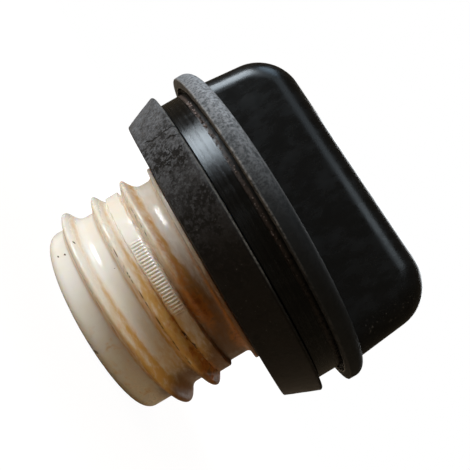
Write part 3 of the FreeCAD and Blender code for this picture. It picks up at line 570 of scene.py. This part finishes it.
def wear_and_shade_at(point, azimuth, radius, height):
    """How tanned, brown, rusty and sooty the plug is at a point; the brown is mostly painted shade, the tan
    partly painted warm shade.
    """
    above, turn = thread_place(azimuth, height)
    present = ridge_fade(turn)
    outside = ease((radius - PLUG_INNER - 1.0) / 1.0)
    patchy = 0.5 + 0.5 * uneven(point, 3.0, 12.0)
    fine = 0.5 + 0.32 * uneven(point, 1.2, 21.0) + 0.25 * uneven(point, 0.55, 27.0)
    low_side = shaded_side(azimuth, STAINED_AND_SHADED_FROM, 90.0, 90.0)
    far_side = shaded_side(azimuth, DARKEST_SHADE_FROM, 36.0, 60.0)
    far_up = ease((height - 2.0) / 16.0)
    # Tan is stain along the thread and at the end; its broad share (wide) and its rise towards the shaded
    # side are partly painted warm shade.
    foot = bell(above, 1.5, 0.5) * (0.6 + 0.4 * low_side) * (0.55 + 0.45 * patchy) * present
    lead_foot = bell(above, -1.5, 0.4) * 0.45
    crest = bell(above, -0.1, 1.1) * (0.24 + 0.5 * low_side)
    strip = bell(above, 1.6, 1.4) * ease((turn - STRIP_FROM) / 60.0) * (0.35 + 0.65 * low_side) * present
    wide = low_side * (0.22 + 0.60 * far_up) * (0.75 + 0.45 * patchy)
    tan = foot + (lead_foot + crest) * present + 0.8 * strip + wide
    freckles = ease((0.7 * uneven(point, 2.1, 40.0) + 0.6 * uneven(point, 0.7, 43.0) + 0.05) / 0.6)
    tan += 0.42 * freckles * ease((7.0 - height) / 3.0) * ease((azimuth - FRECKLED_FROM) / 30.0)
    # Brown is mostly painted shade: a painted shadow under the seal, stronger on the shaded side, and a
    # painted dark far side.
    near_seal = ease((height - 18.0) / 8.0)
    brown = near_seal * (0.26 + 1.5 * low_side) + 1.7 * far_side * ease((height - 3.0) / 7.0)
    mottled = ease((0.55 * patchy + 0.6 * fine - 0.42) / 0.3)
    rust = strip * mottled * (0.15 + 0.85 * low_side) * (0.35 + 0.65 * far_up)
    rust += 0.35 * foot * low_side * mottled
    rust += rust_marks(azimuth, height, above, turn, patchy, low_side)
    soot = soot_marks(point, azimuth, height, fine, patchy)
    return {
        "tan": min(tan * outside, 1.0),
        "brown": brown * outside,
        "rust": min(rust * outside, 1.0),
        "soot": min(soot * outside, 1.0),
    }


def rubber_seal():
    """Thick rubber ring with a conical face, softly uneven and worn along its edges."""
    face_low = (SEAL_LOWER_RADIUS, SEAL_LOW + SEAL_EDGE)
    face_high = (SEAL_UPPER_RADIUS, SEAL_HIGH - SEAL_EDGE)
    section = [(NECK_RADIUS, COLLAR_HIGH), (COLLAR_RADIUS, COLLAR_HIGH)]
    section += [(SEAL_FOOT, SEAL_LOW)]
    section += way((SEAL_FOOT + 0.3, SEAL_LOW), (SEAL_LOWER_RADIUS - SEAL_EDGE, SEAL_LOW), 0.8)
    section += bend((SEAL_LOWER_RADIUS - SEAL_EDGE, SEAL_LOW + SEAL_EDGE), SEAL_EDGE, -90.0, -12.0, 4)
    section += way(face_low, face_high, 0.36)
    section += bend((SEAL_UPPER_RADIUS - SEAL_EDGE, SEAL_HIGH - SEAL_EDGE), SEAL_EDGE, 0.0, 90.0, 4)
    section += way((SEAL_UPPER_RADIUS - SEAL_EDGE, SEAL_HIGH), (NECK_RADIUS, SEAL_HIGH), 1.6)
    section += [(NECK_RADIUS, SEAL_HIGH)]
    form = turned(section, [(FULL_TURN, SEAL_COLUMNS)])
    for vertex in form.verts:
        radius, height = place_of(vertex.co)[1:]
        if radius < SEAL_FOOT + 1.0:
            continue
        edge = bell(height, SEAL_HIGH, 0.9) + bell(height, SEAL_LOW, 0.9)
        worn = 0.05 + 0.13 * edge
        sink = worn * (0.6 + 0.5 * uneven(vertex.co, 4.5, 2.0)) + 0.03 * uneven(vertex.co, 1.1, 7.0)
        target = radius - max(sink, 0.0)
        vertex.co.x *= target / radius
        vertex.co.y *= target / radius
    return finished(form, "rubber_seal", SEAL_SMOOTH_ANGLE)


def cap_shell():
    """Flange and skirt of the cap, turned."""
    lower = (FLANGE_RADIUS - FLANGE_LOWER_ROUND, FLANGE_LOW + FLANGE_LOWER_ROUND)
    upper = (FLANGE_RADIUS - FLANGE_UPPER_ROUND, FLANGE_HIGH - FLANGE_UPPER_ROUND)
    section = [
        (0.0, CEILING),
        (SKIRT_INNER, CEILING),
        (SKIRT_INNER, SNAP_HIGH),
        (SKIRT_INNER + SNAP_DEPTH, SNAP_HIGH),
        (SKIRT_INNER + SNAP_DEPTH, SNAP_LOW),
        (SKIRT_INNER, SNAP_LOW),
        (SKIRT_INNER, SKIRT_LOW + 0.2),
        (SKIRT_INNER + 0.2, SKIRT_LOW),
        (SKIRT_RADIUS - 0.2, SKIRT_LOW),
        (SKIRT_RADIUS, SKIRT_LOW + 0.2),
    ]
    section += way((SKIRT_RADIUS, SKIRT_LOW + 0.5), (SKIRT_RADIUS, FLANGE_LOW + UNDERCUT_RISE), 0.5)
    section += [
        (SKIRT_RADIUS, FLANGE_LOW + UNDERCUT_RISE),
        (SKIRT_RADIUS + UNDERCUT_WIDTH, FLANGE_LOW + UNDERCUT_RISE),
        (SKIRT_RADIUS + UNDERCUT_WIDTH, FLANGE_LOW),
    ]
    section += bend(lower, FLANGE_LOWER_ROUND, -90.0, 0.0, 3)
    section += bend(upper, FLANGE_UPPER_ROUND, 0.0, 90.0, 10)
    section += [(upper[0], FLANGE_HIGH), (0.0, FLANGE_HIGH)]
    return finished(turned(section, [(FULL_TURN, CAP_COLUMNS)]), "cap_shell", SMOOTH_ANGLE)


def handle_block():
    """Thick bar with drafted ends, large end corners and soft edges all round."""
    form = bmesh.new()
    block(form, (-HANDLE_REACH, -HANDLE_HALF_WIDTH, CEILING + 0.5),
          (HANDLE_REACH, HANDLE_HALF_WIDTH, HANDLE_HIGH))
    for vertex in form.verts:
        if vertex.co.z > FLANGE_HIGH * MM:
            vertex.co.x *= (HANDLE_REACH - HANDLE_DRAFT) / HANDLE_REACH
    top = HANDLE_HIGH * MM
    across = [edge for edge in form.edges
              if all(vertex.co.z > top - MM for vertex in edge.verts)
              and abs(edge.verts[0].co.x - edge.verts[1].co.x) < MM]
    bmesh.ops.bevel(form, geom=across, offset=HANDLE_CORNER * MM, offset_type="OFFSET", affect="EDGES",
                    segments=14, profile=0.5, material=-1, clamp_overlap=True)
    half = HANDLE_HALF_WIDTH * MM
    rims = [edge for edge in form.edges
            if abs(abs(edge.verts[0].co.y) - half) < TINY
            and abs(edge.verts[0].co.y - edge.verts[1].co.y) < TINY
            and max(vertex.co.z for vertex in edge.verts) > FLANGE_HIGH * MM]
    bmesh.ops.bevel(form, geom=rims, offset=HANDLE_ROUND * MM, offset_type="OFFSET", affect="EDGES",
                    segments=10, profile=0.5, material=-1, clamp_overlap=True)
    bmesh.ops.recalc_face_normals(form, faces=form.faces)
    return finished(form, "handle_block", SMOOTH_ANGLE)


def handle_hollow():
    """The space inside the bar, open below."""
    form = bmesh.new()
    block(form, (-HOLLOW_REACH, -HOLLOW_HALF_WIDTH, CEILING - 0.5),
          (HOLLOW_REACH, HOLLOW_HALF_WIDTH, HOLLOW_HIGH))
    upright = [edge for edge in form.edges
               if abs(edge.verts[0].co.z - edge.verts[1].co.z) > MM]
    bmesh.ops.bevel(form, geom=upright, offset=HOLLOW_ROUND * MM, offset_type="OFFSET", affect="EDGES",
                    segments=6, profile=0.5, material=-1, clamp_overlap=True)
    return finished(form, "handle_hollow", SMOOTH_ANGLE)


def handle_cap():
    """Cap in one moulding: shell and bar joined, hollow cut out."""
    piece = cap_shell()
    piece.name = "handle_cap"
    helpers = [("UNION", handle_block()), ("DIFFERENCE", handle_hollow())]
    for operation, helper in helpers:
        cut = piece.modifiers.new(operation.lower(), "BOOLEAN")
        cut.operation = operation
        cut.object = helper
        cut.solver = "EXACT"
    graph = bpy.context.evaluated_depsgraph_get()
    mesh = bpy.data.meshes.new_from_object(piece.evaluated_get(graph))
    piece.modifiers.clear()
    piece.data = mesh
    for _, helper in helpers:
        bpy.data.objects.remove(helper)
    mesh.shade_smooth()
    mesh.set_sharp_from_angle(angle=math.radians(CAP_SMOOTH_ANGLE))
    even = piece.modifiers.new("even_shading", "WEIGHTED_NORMAL")
    even.keep_sharp = True
    return piece


def groove_grit():
    """Crumbs of dried dirt stuck under the flange, in the groove."""
    form = bmesh.new()
    for index in range(GRIT_COUNT):
        pick = Vector((index * 3.7, 1.3, 2.9))
        chance = [0.5 + 0.5 * noise.noise(pick * (part + 1.0)) for part in range(4)]
        share = (index * 0.618 + 0.4 * chance[3]) % 1.0
        azimuth = math.radians(GRIT_FROM + (GRIT_TO - GRIT_FROM) * share ** 2.0)
        size = GRIT_SIZE * (0.35 + 1.3 * chance[0] ** 2) * (1.35 - share) * MM
        radius = (SKIRT_RADIUS + 0.02 + 0.25 * chance[1]) * MM
        height = (FLANGE_LOW - 0.3 - GRIT_BAND * chance[2]) * MM
        centre = Vector((radius * math.cos(azimuth), radius * math.sin(azimuth), height))
        made = bmesh.ops.create_icosphere(form, subdivisions=2, radius=size)["verts"]
        for vertex in made:
            vertex.co *= 1.0 + 0.45 * noise.noise(vertex.co / size * 1.4 + pick)
        bmesh.ops.translate(form, verts=made, vec=centre)
    return finished(form, "groove_grit", GRIT_SMOOTH_ANGLE)


# Materials


def new_finish(name):
    """An empty material with its shader: (material, tree, shader)."""
    material = bpy.data.materials.new(name)
    material.use_nodes = True
    tree = material.node_tree
    shader = tree.nodes["Principled BSDF"]
    return material, tree, shader


def node(tree, kind, inputs=(), **settings):
    """A node with its settings, and its inputs linked or set."""
    made = tree.nodes.new(kind)
    for name, value in settings.items():
        setattr(made, name, value)
    for socket, value in dict(inputs).items():
        if isinstance(value, bpy.types.NodeSocket):
            tree.links.new(value, made.inputs[socket])
        else:
            made.inputs[socket].default_value = value
    return made


def speckle(tree, scale, detail=4.0, roughness=0.6, stretch=(1.0, 1.0, 1.0), distortion=0.0):
    """Noise over the piece's own place; scale is lumps to the metre."""
    place = node(tree, "ShaderNodeTexCoord").outputs["Object"]
    turned_place = node(tree, "ShaderNodeMapping", {"Vector": place, "Scale": stretch})
    made = node(tree, "ShaderNodeTexNoise", {
        "Vector": turned_place.outputs["Vector"], "Scale": scale, "Detail": detail,
        "Roughness": roughness, "Distortion": distortion})
    return made.outputs["Fac"]


def steps(tree, value, low, high, floor=0.0, top=1.0):
    """The value stretched smoothly from floor to top between low and high."""
    made = node(tree, "ShaderNodeMapRange", {
        "Value": value, "From Min": low, "From Max": high, "To Min": floor, "To Max": top},
        interpolation_type="SMOOTHSTEP")
    return made.outputs["Result"]


def maths(tree, operation, first, second):
    """Plain arithmetic on two values; a value that the operation doesn't use is 0."""
    made = node(tree, "ShaderNodeMath", {0: first, 1: second}, operation=operation, use_clamp=False)
    return made.outputs["Value"]


def times(tree, *values):
    """All the values multiplied."""
    product = values[0]
    for value in values[1:]:
        product = maths(tree, "MULTIPLY", product, value)
    return product


def added(tree, *values):
    """All the values added up."""
    total = values[0]
    for value in values[1:]:
        total = maths(tree, "ADD", total, value)
    return total


def past(tree, length, first, last):
    """0 up to the first place in millimetres, easing to 1 at the last."""
    return steps(tree, length, first * MM, last * MM)


def short_of(tree, length, first, last):
    """1 up to the first place in millimetres, easing to 0 at the last."""
    return steps(tree, length, first * MM, last * MM, 1.0, 0.0)


def part_of(tree, place, axis):
    """One coordinate of a place."""
    return node(tree, "ShaderNodeSeparateXYZ", {"Vector": place}).outputs[axis]


def blend_colours(tree, share, first, second):
    """Second colour over the first by a share."""
    made = node(tree, "ShaderNodeMix", {"Factor": share}, data_type="RGBA", blend_type="MIX")
    for socket, value in (("A", first), ("B", second)):
        target = [s for s in made.inputs if s.name == socket and s.type == "RGBA"][0]
        if isinstance(value, bpy.types.NodeSocket):
            tree.links.new(value, target)
        else:
            target.default_value = (*value, 1.0)
    return [s for s in made.outputs if s.type == "RGBA"][0]


def layered(tree, colour, *layers):
    """Colours laid over the first one in turn, each by its share."""
    for share, upper in layers:
        colour = blend_colours(tree, share, colour, upper)
    return colour


def bumps(tree, shader, height, distance, strength=1.0, under=None):
    """Fine relief of this depth in millimetres."""
    inputs = {"Height": height, "Distance": distance * MM, "Strength": strength}
    if under is not None:
        inputs["Normal"] = under
    made = node(tree, "ShaderNodeBump", inputs)
    tree.links.new(made.outputs["Normal"], shader.inputs["Normal"])
    return made.outputs["Normal"]


def bearing(tree, place):
    """Degrees round the axis from the near side, growing towards the bar's +X end."""
    parts = node(tree, "ShaderNodeSeparateXYZ", {"Vector": place})
    near = maths(tree, "MULTIPLY", parts.outputs["Y"], -1.0)
    angle = maths(tree, "ARCTAN2", parts.outputs["X"], near)
    return maths(tree, "DEGREES", angle, 0.0)


def shade_fading(tree, angle, first, last, low):
    """1 round the axis, falling to low between two bearings of the near side and back on the far side: the
    share of the lit side, by which marks are painted as shaded away from the lamps.
    """
    falling = steps(tree, angle, first, last, 1.0, low)
    rising = steps(tree, angle, FAR_FROM, FAR_TO, low, 1.0)
    return maths(tree, "MAXIMUM", falling, rising)


def attribute(tree, name):
    """A value painted on the mesh."""
    return node(tree, "ShaderNodeAttribute", attribute_name=name).outputs["Fac"]


def ivory_finish():
    """Aged ivory plastic, a little clear, tanned and rust-stained along the thread, with soot in cracks and
    brown painted shade near the seal and on the far side.
    """
    material, tree, shader = new_finish("stained_ivory")
    cloudy = speckle(tree, 95.0, detail=3.0)
    fine = speckle(tree, 900.0, detail=5.0)
    grain = speckle(tree, 2600.0, detail=2.0)
    streaks = speckle(tree, 420.0, detail=5.0, stretch=(1.0, 1.0, 3.2))
    tan = times(tree, attribute(tree, "tan"), steps(tree, streaks, 0.26, 0.66, 0.55, 1.15))
    # The brown attribute is mostly painted shade near the seal and on the far side.
    brown = times(tree, attribute(tree, "brown"), steps(tree, streaks, 0.30, 0.62, 0.8, 1.1))
    rust = times(tree, attribute(tree, "rust"), steps(tree, fine, 0.30, 0.62, 0.35, 1.15))
    soot = times(tree, attribute(tree, "soot"), steps(tree, fine, 0.34, 0.50, 0.45, 1.0))
    colour = layered(
        tree, IVORY_PALE,
        (steps(tree, cloudy, 0.38, 0.66), IVORY_DEEP),
        (steps(tree, tan, 0.0, 1.0), TAN_STAIN_AND_SHADE),
        (steps(tree, brown, 0.0, 1.2, 0.0, 0.9), BROWN_GRIME_AND_SHADE),
        (steps(tree, rust, 0.0, 0.75), RUST_LIGHT),
        (steps(tree, rust, 0.6, 1.5), RUST_DARK),
        (steps(tree, soot, 0.15, 0.6), PLUG_SOOT))
    tree.links.new(colour, shader.inputs["Base Color"])
    rough = added(tree, steps(tree, cloudy, 0.3, 0.7, 0.14, 0.22), times(tree, tan, 0.35))
    tree.links.new(rough, shader.inputs["Roughness"])
    shader.inputs["Subsurface Weight"].default_value = 0.4
    shader.inputs["Subsurface Radius"].default_value = (1.0, 0.55, 0.28)
    shader.inputs["Subsurface Scale"].default_value = 5.0 * MM
    soft = bumps(tree, shader, grain, 0.02, 0.4)
    bumps(tree, shader, fine, 0.05, 0.4, under=soft)
    return material


def cracks_across(tree, angle, height, wander):
    """Dark cracks over the seal's face."""
    above = maths(tree, "SUBTRACT", times(tree, height, 1.0 / MM), (SEAL_LOW + SEAL_HIGH) / 2.0)
    shares = []
    for middle, lean, low_end in CRACKS:
        line = added(tree, times(tree, above, lean), middle)
        apart = added(tree, maths(tree, "SUBTRACT", angle, line), steps(tree, wander, 0.3, 0.7, -0.9, 0.9))
        apart = maths(tree, "ABSOLUTE", apart, 0.0)
        inside = past(tree, height, low_end - 0.4, low_end + 0.4)
        shares.append(times(tree, steps(tree, apart, 0.1, 0.42, 1.0, 0.0), inside))
    return maths(tree, "MAXIMUM", shares[0], shares[1])


def blotches_on(tree, angle, height, wander):
    """How near a point of the seal lies to one of its rubbed blotches."""
    level = times(tree, height, 1.0 / MM)
    nearest = 0.0
    for middle, centre, reach in BLOTCHES:
        across = times(tree, maths(tree, "SUBTRACT", angle, middle), DEGREE_ON_SEAL)
        up = maths(tree, "SUBTRACT", level, centre)
        squares = added(tree, times(tree, across, across), times(tree, up, up))
        apart = added(tree, maths(tree, "SQRT", squares, 0.0), steps(tree, wander, 0.3, 0.7, -1.4, 1.4))
        nearest = maths(tree, "MAXIMUM", nearest, steps(tree, apart, 0.5 * reach, 1.2 * reach, 1.0, 0.0))
    return nearest


def rubber_finish():
    """Matte black rubber under grey dust, rubbed black in patches and finely cracked; the dust thins into
    painted shade away from the lamps, the upper edge carries a worn pale line with a painted highlight, and
    the underside is painted dark brown.
    """
    material, tree, shader = new_finish("dusty_rubber")
    place = node(tree, "ShaderNodeTexCoord").outputs["Object"]
    height = part_of(tree, place, "Z")
    angle = bearing(tree, place)
    patches = speckle(tree, 330.0, detail=9.0, roughness=0.74)
    broad = speckle(tree, 75.0, detail=2.0)
    grain = speckle(tree, 1700.0, detail=7.0, roughness=0.75)
    wander = speckle(tree, 260.0, detail=3.0)
    small = speckle(tree, 950.0, detail=7.0, roughness=0.7)
    islands = speckle(tree, 170.0, detail=4.0)
    crumbs = speckle(tree, 2100.0, detail=2.0)
    # The dust thins into painted shade on the side away from the lamps.
    dust = times(tree, steps(tree, patches, 0.38, 0.60, 0.55, 1.0),
                 steps(tree, grain, 0.38, 0.60, 0.3, 1.0), shade_fading(tree, angle, -44.0, 18.0, 0.03))
    zones = times(tree, steps(tree, islands, 0.48, 0.54), steps(tree, broad, 0.34, 0.46, 0.45, 1.0))
    zones = maths(tree, "MAXIMUM", zones, blotches_on(tree, angle, height, wander))
    rubbed = times(tree, steps(tree, small, 0.47, 0.51), zones, steps(tree, angle, -48.0, -18.0, 0.4, 1.0))
    # Pale line along the upper edge: worn rubber with a painted highlight, fading on the shaded side.
    edge = times(tree, past(tree, height, SEAL_HIGH - 0.5, SEAL_HIGH - 0.2),
                 steps(tree, grain, 0.40, 0.58, 0.25, 1.0), shade_fading(tree, angle, 18.0, 30.0, 0.1))
    pale = maths(tree, "MAXIMUM", steps(tree, crumbs, 0.70, 0.75, 0.0, 0.5), edge)
    # Dark brown on the seal's underside.
    foot = short_of(tree, height, SEAL_LOW - 0.1, SEAL_LOW + 0.05)
    cracks = cracks_across(tree, angle, height, wander)
    colour = layered(
        tree, RUBBER_BARE,
        (dust, RUBBER_DUST_AND_SHADE),
        (rubbed, RUBBER_RUBBED),
        (pale, RUBBER_EDGE_HIGHLIGHT),
        (foot, RUBBER_UNDERSIDE_BROWN),
        (cracks, RUBBER_CRACK))
    tree.links.new(colour, shader.inputs["Base Color"])
    tree.links.new(steps(tree, dust, 0.0, 1.0, 0.50, 0.90), shader.inputs["Roughness"])
    shader.inputs["Specular IOR Level"].default_value = 0.16
    low = bumps(tree, shader, grain, 0.08, 0.8)
    relief = maths(tree, "SUBTRACT", patches, times(tree, cracks, 0.6))
    bumps(tree, shader, relief, 0.14, 0.5, under=low)
    return material


def cap_zones(tree, place, height):
    """Shares that mark the flange's flat top, the whole flange and the groove under it."""
    reach = node(tree, "ShaderNodeVectorMath", {0: place, 1: (1.0, 1.0, 0.0)}, operation="MULTIPLY")
    length = node(tree, "ShaderNodeVectorMath", {0: reach.outputs["Vector"]}, operation="LENGTH")
    radius = length.outputs["Value"]
    undercut = SKIRT_RADIUS + UNDERCUT_WIDTH
    flat_top = past(tree, height, FLANGE_HIGH - 0.3, FLANGE_HIGH - 0.05)
    rim = maths(tree, "MAXIMUM", past(tree, radius, undercut, undercut + 0.4), flat_top)
    flange = times(tree, short_of(tree, height, FLANGE_HIGH, FLANGE_HIGH + 0.25), rim)
    groove = times(tree, short_of(tree, radius, SKIRT_RADIUS + 0.1, SKIRT_RADIUS + 0.2),
                   short_of(tree, height, FLANGE_LOW, FLANGE_HIGH))
    return flat_top, flange, groove


def cap_finish():
    """Black moulded plastic: polished bar, matte flange, turned marks and dirt in the groove; the flange's
    dust and the groove's dirt thin into painted shade away from the lamps, the recess under the flange is
    painted dark as shade, and the bar carries a faint film with a painted bluish sheen.
    """
    material, tree, shader = new_finish("black_moulding")
    place = node(tree, "ShaderNodeTexCoord").outputs["Object"]
    height = part_of(tree, place, "Z")
    along = part_of(tree, place, "X")
    angle = bearing(tree, place)
    flat_top, flange, groove = cap_zones(tree, place, height)
    grain = speckle(tree, 1500.0, detail=6.0, roughness=0.7)
    cloudy = speckle(tree, 70.0, detail=4.0)
    scuffs = speckle(tree, 350.0, detail=6.0, stretch=(1.0, 1.0, 0.5))
    rings = speckle(tree, 2.0, detail=5.0, roughness=0.75, stretch=(0.0, 0.0, 800.0))
    nicks = speckle(tree, 1500.0, detail=5.0)
    # Dust on the flange, thinned into painted shade away from the lamps and raised towards the upper round
    # as painted light; less on the flat top.
    dust = times(tree, flange, steps(tree, grain, 0.36, 0.62, 0.25, 1.0),
                 steps(tree, scuffs, 0.32, 0.46, 0.55, 1.0), shade_fading(tree, angle, -34.0, 16.0, 0.02),
                 steps(tree, height, (FLANGE_LOW + 1.0) * MM, (FLANGE_HIGH - 1.0) * MM, 0.75, 1.25),
                 steps(tree, flat_top, 0.0, 1.0, 1.0, 0.3))
    # Pale dust along the flange's lower lip, thinned into painted shade on the shaded side.
    lip = times(tree, short_of(tree, height, FLANGE_LOW + 0.3, FLANGE_LOW + 0.6), flange,
                steps(tree, grain, 0.40, 0.56, 0.15, 0.9), shade_fading(tree, angle, 0.0, 30.0, 0.15),
                steps(tree, scuffs, 0.42, 0.56, 0.35, 1.0))
    # Faint mottled film on the black plastic with a painted bluish sheen, stronger on the shaded side.
    film_and_sheen = times(tree, steps(tree, cloudy, 0.30, 0.80, 0.0, 0.7), steps(tree, scuffs, 0.30, 0.75),
                 maths(tree, "SUBTRACT", 1.1, shade_fading(tree, angle, -30.0, 25.0, 0.2)))
    scuffed = times(tree, past(tree, along, SCUFF_FROM, SCUFF_FROM + SCUFF_FADE),
                    short_of(tree, along, SCUFF_TO - SCUFF_FADE, SCUFF_TO),
                    past(tree, height, FLANGE_HIGH + 2.0, FLANGE_HIGH + 5.0),
                    steps(tree, nicks, 0.60, 0.68))
    # Dirt at the top of the groove, thinned into painted shade away from the lamps.
    dirt = times(tree, groove, past(tree, height, FLANGE_LOW - 1.5, FLANGE_LOW - 1.0),
                 shade_fading(tree, angle, -20.0, 35.0, 0.25), steps(tree, grain, 0.36, 0.56, 0.2, 1.0))
    # Recess under the flange painted near black: painted shade.
    deep_shade = times(tree, past(tree, height, FLANGE_LOW - 0.7, FLANGE_LOW - 0.15), groove)
    colour = layered(
        tree, CAP_BLACK,
        (dust, CAP_DUST_AND_SHADE),
        (lip, CAP_LIP),
        (film_and_sheen, CAP_FILM_AND_SHEEN),
        (scuffed, CAP_NICK),
        (dirt, GROOVE_DIRT_AND_SHADE),
        (deep_shade, GROOVE_PAINTED_SHADE))
    tree.links.new(colour, shader.inputs["Base Color"])
    rough = added(tree, steps(tree, scuffs, 0.35, 0.7, 0.24, 0.33), times(tree, flange, 0.5),
                  times(tree, groove, steps(tree, rings, 0.35, 0.65, -0.12, 0.01)), times(tree, dirt, 0.4))
    tree.links.new(rough, shader.inputs["Roughness"])
    shader.inputs["Specular IOR Level"].default_value = 0.37
    shader.inputs["Specular Tint"].default_value = CAP_SHEEN
    low = bumps(tree, shader, times(tree, rings, groove), 0.05, 1.0)
    rubbed = times(tree, grain, steps(tree, flange, 0.0, 1.0, 0.15, 1.0))
    bumps(tree, shader, rubbed, 0.08, 0.7, under=low)
    return material


def grit_finish():
    """Dried dirt, dark brown with pale lumps painted as glints."""
    material, tree, shader = new_finish("dried_grit")
    lumps = speckle(tree, 1400.0, detail=3.0)
    colour = blend_colours(tree, steps(tree, lumps, 0.42, 0.60), GRIT_DARK, GRIT_PALE_GLINT)
    tree.links.new(colour, shader.inputs["Base Color"])
    shader.inputs["Roughness"].default_value = 0.32
    bumps(tree, shader, lumps, 0.08, 0.7)
    return material


def plain_finish(name, dark, pale, roughness, scale, metallic=0.0, relief=0.03):
    """A moulded or drawn surface with slight variation of colour, gloss and relief."""
    material, tree, shader = new_finish(name)
    cloudy = speckle(tree, scale, detail=4.0)
    fine = speckle(tree, scale * 12.0, detail=4.0)
    colour = blend_colours(tree, steps(tree, cloudy, 0.35, 0.65), dark, pale)
    tree.links.new(colour, shader.inputs["Base Color"])
    tree.links.new(steps(tree, fine, 0.3, 0.7, roughness, roughness + 0.15), shader.inputs["Roughness"])
    shader.inputs["Metallic"].default_value = metallic
    bumps(tree, shader, fine, relief, 0.5)
    return material


def paint(piece, material):
    """Gives the piece this one material."""
    piece.data.materials.clear()
    piece.data.materials.append(material)


def live_spring(name, body, material):
    """A spring's solid as a piece of its own, painted and set on a body."""
    form = bmesh.new()
    form.from_mesh(frame["nodes"][name].data)
    bmesh.ops.remove_doubles(form, verts=form.verts, dist=0.002 * MM)
    piece = finished(form, "live_" + name, SMOOTH_ANGLE)
    paint(piece, material)
    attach(piece, body)
    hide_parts(name)
    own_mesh(piece)


def dress_inner_pieces():
    """Materials of the inner pieces that keep their solids, and the two springs."""
    finishes = {slot: plain_finish(*row) for slot, row in INNER_FINISHES.items()}
    for row in frame["record"]["subparts"]:
        if row["material_slot"] in finishes:
            paint(frame["nodes"][row["node"]], finishes[row["material_slot"]])
    steel = finishes["spring_steel"]
    live_spring("pressure_spring", "plug",
                steel)
    live_spring("vacuum_spring", "pressure_valve",
                steel)


# Camera, light and ground


def photo_camera():
    """Camera at the photograph's place, rolled as it was held."""
    ahead = Vector((math.sin(CAMERA_PAN) * math.cos(CAMERA_TILT),
                    math.cos(CAMERA_PAN) * math.cos(CAMERA_TILT), math.sin(CAMERA_TILT)))
    right = Vector((math.cos(CAMERA_PAN), -math.sin(CAMERA_PAN), 0.0))
    up = right.cross(ahead)
    rolled_right = math.cos(CAMERA_ROLL) * right + math.sin(CAMERA_ROLL) * up
    rolled_up = -math.sin(CAMERA_ROLL) * right + math.cos(CAMERA_ROLL) * up
    turn = Matrix.Rotation(math.radians(CAMERA_TURN), 3, "Z")
    axes = Matrix([turn @ rolled_right, turn @ rolled_up, turn @ -ahead]).transposed()
    lens = bpy.data.cameras.new("photo_camera")
    lens.lens = CAMERA_LENS
    lens.sensor_width = SENSOR
    lens.clip_start = 0.005
    lens.clip_end = 20.0
    camera = bpy.data.objects.new("photo_camera", lens)
    camera.matrix_world = Matrix.Translation(Vector(CAMERA_PLACE) * MM) @ axes.to_4x4()
    bpy.context.scene.collection.objects.link(camera)
    bpy.context.scene.camera = camera


def lamp(name, azimuth, elevation, distance, size, power, colour, shiny):
    """Soft square lamp that looks at the middle of the cap; one that isn't shiny leaves no highlight."""
    light = bpy.data.lights.new(name, "AREA")
    light.shape = "RECTANGLE"
    light.size, light.size_y = size
    light.energy = power
    light.color = colour
    thing = bpy.data.objects.new(name, light)
    thing.visible_glossy = shiny
    round_z, rise = math.radians(azimuth), math.radians(elevation)
    away = Vector((math.cos(rise) * math.cos(round_z), math.cos(rise) * math.sin(round_z), math.sin(rise)))
    middle = Vector((0.0, 0.0, HANDLE_HIGH / 2.0 * MM))
    thing.location = middle + away * distance
    thing.rotation_euler = (-away).to_track_quat("-Z", "Y").to_euler()
    bpy.context.scene.collection.objects.link(thing)


def surroundings():
    """White backdrop for the camera, dim pale room for the light."""
    world = bpy.data.worlds.new("pale_room")
    bpy.context.scene.world = world
    world.use_nodes = True
    tree = world.node_tree
    tree.nodes.clear()
    path = node(tree, "ShaderNodeLightPath")
    seen = maths(tree, "MAXIMUM", path.outputs["Is Camera Ray"], path.outputs["Is Transmission Ray"])
    room = node(tree, "ShaderNodeBackground", {"Color": (*ROOM_COLOUR, 1.0), "Strength": ROOM_STRENGTH})
    white = node(tree, "ShaderNodeBackground", {"Color": (*WHITE, 1.0), "Strength": 1.0})
    mixed = node(tree, "ShaderNodeMixShader", {
        "Fac": seen, 1: room.outputs["Background"], 2: white.outputs["Background"]})
    node(tree, "ShaderNodeOutputWorld", {"Surface": mixed.outputs["Shader"]})


def ground():
    """Pale floor that keeps a soft shadow."""
    form = bmesh.new()
    bmesh.ops.create_grid(form, x_segments=1, y_segments=1, size=FLOOR_REACH)
    floor = finished(form, "floor", SMOOTH_ANGLE)
    material, tree, shader = new_finish("pale_floor")
    shader.inputs["Base Color"].default_value = (*FLOOR_COLOUR, 1.0)
    shader.inputs["Roughness"].default_value = 0.9
    shader.inputs["Specular IOR Level"].default_value = 0.0
    path = node(tree, "ShaderNodeLightPath")
    place = node(tree, "ShaderNodeTexCoord").outputs["Object"]
    distance = node(tree, "ShaderNodeVectorMath", {0: place}, operation="LENGTH").outputs["Value"]
    white = node(tree, "ShaderNodeEmission", {"Color": (*WHITE, 1.0), "Strength": FLOOR_GLOW})
    seen = times(tree, path.outputs["Is Camera Ray"],
                 steps(tree, distance, SHADOW_NEAR, SHADOW_FAR, NEAR_WHITE, 1.0))
    mixed = node(tree, "ShaderNodeMixShader", {
        "Fac": seen, 1: shader.outputs["BSDF"], 2: white.outputs["Emission"]})
    tree.links.new(mixed.outputs["Shader"], tree.nodes["Material Output"].inputs["Surface"])
    paint(floor, material)


def build_object():
    """Makes the fine pieces and sets each on its body."""
    plug = screw_plug()
    paint(plug, ivory_finish())
    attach(plug, "plug")
    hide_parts("plug_body")
    seal = rubber_seal()
    paint(seal, rubber_finish())
    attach(seal, "plug")
    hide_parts("seal_ring")
    cap = handle_cap()
    paint(cap, cap_finish())
    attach(cap, "grip")
    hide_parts("grip_cap")
    grit = groove_grit()
    paint(grit, grit_finish())
    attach(grit, "grip")
    dress_inner_pieces()


def main():
    scene = bpy.context.scene
    scene.view_settings.view_transform = "Standard"
    build_object()
    photo_camera()
    for row in LAMPS:
        lamp(*row)
    surroundings()
    ground()


main()
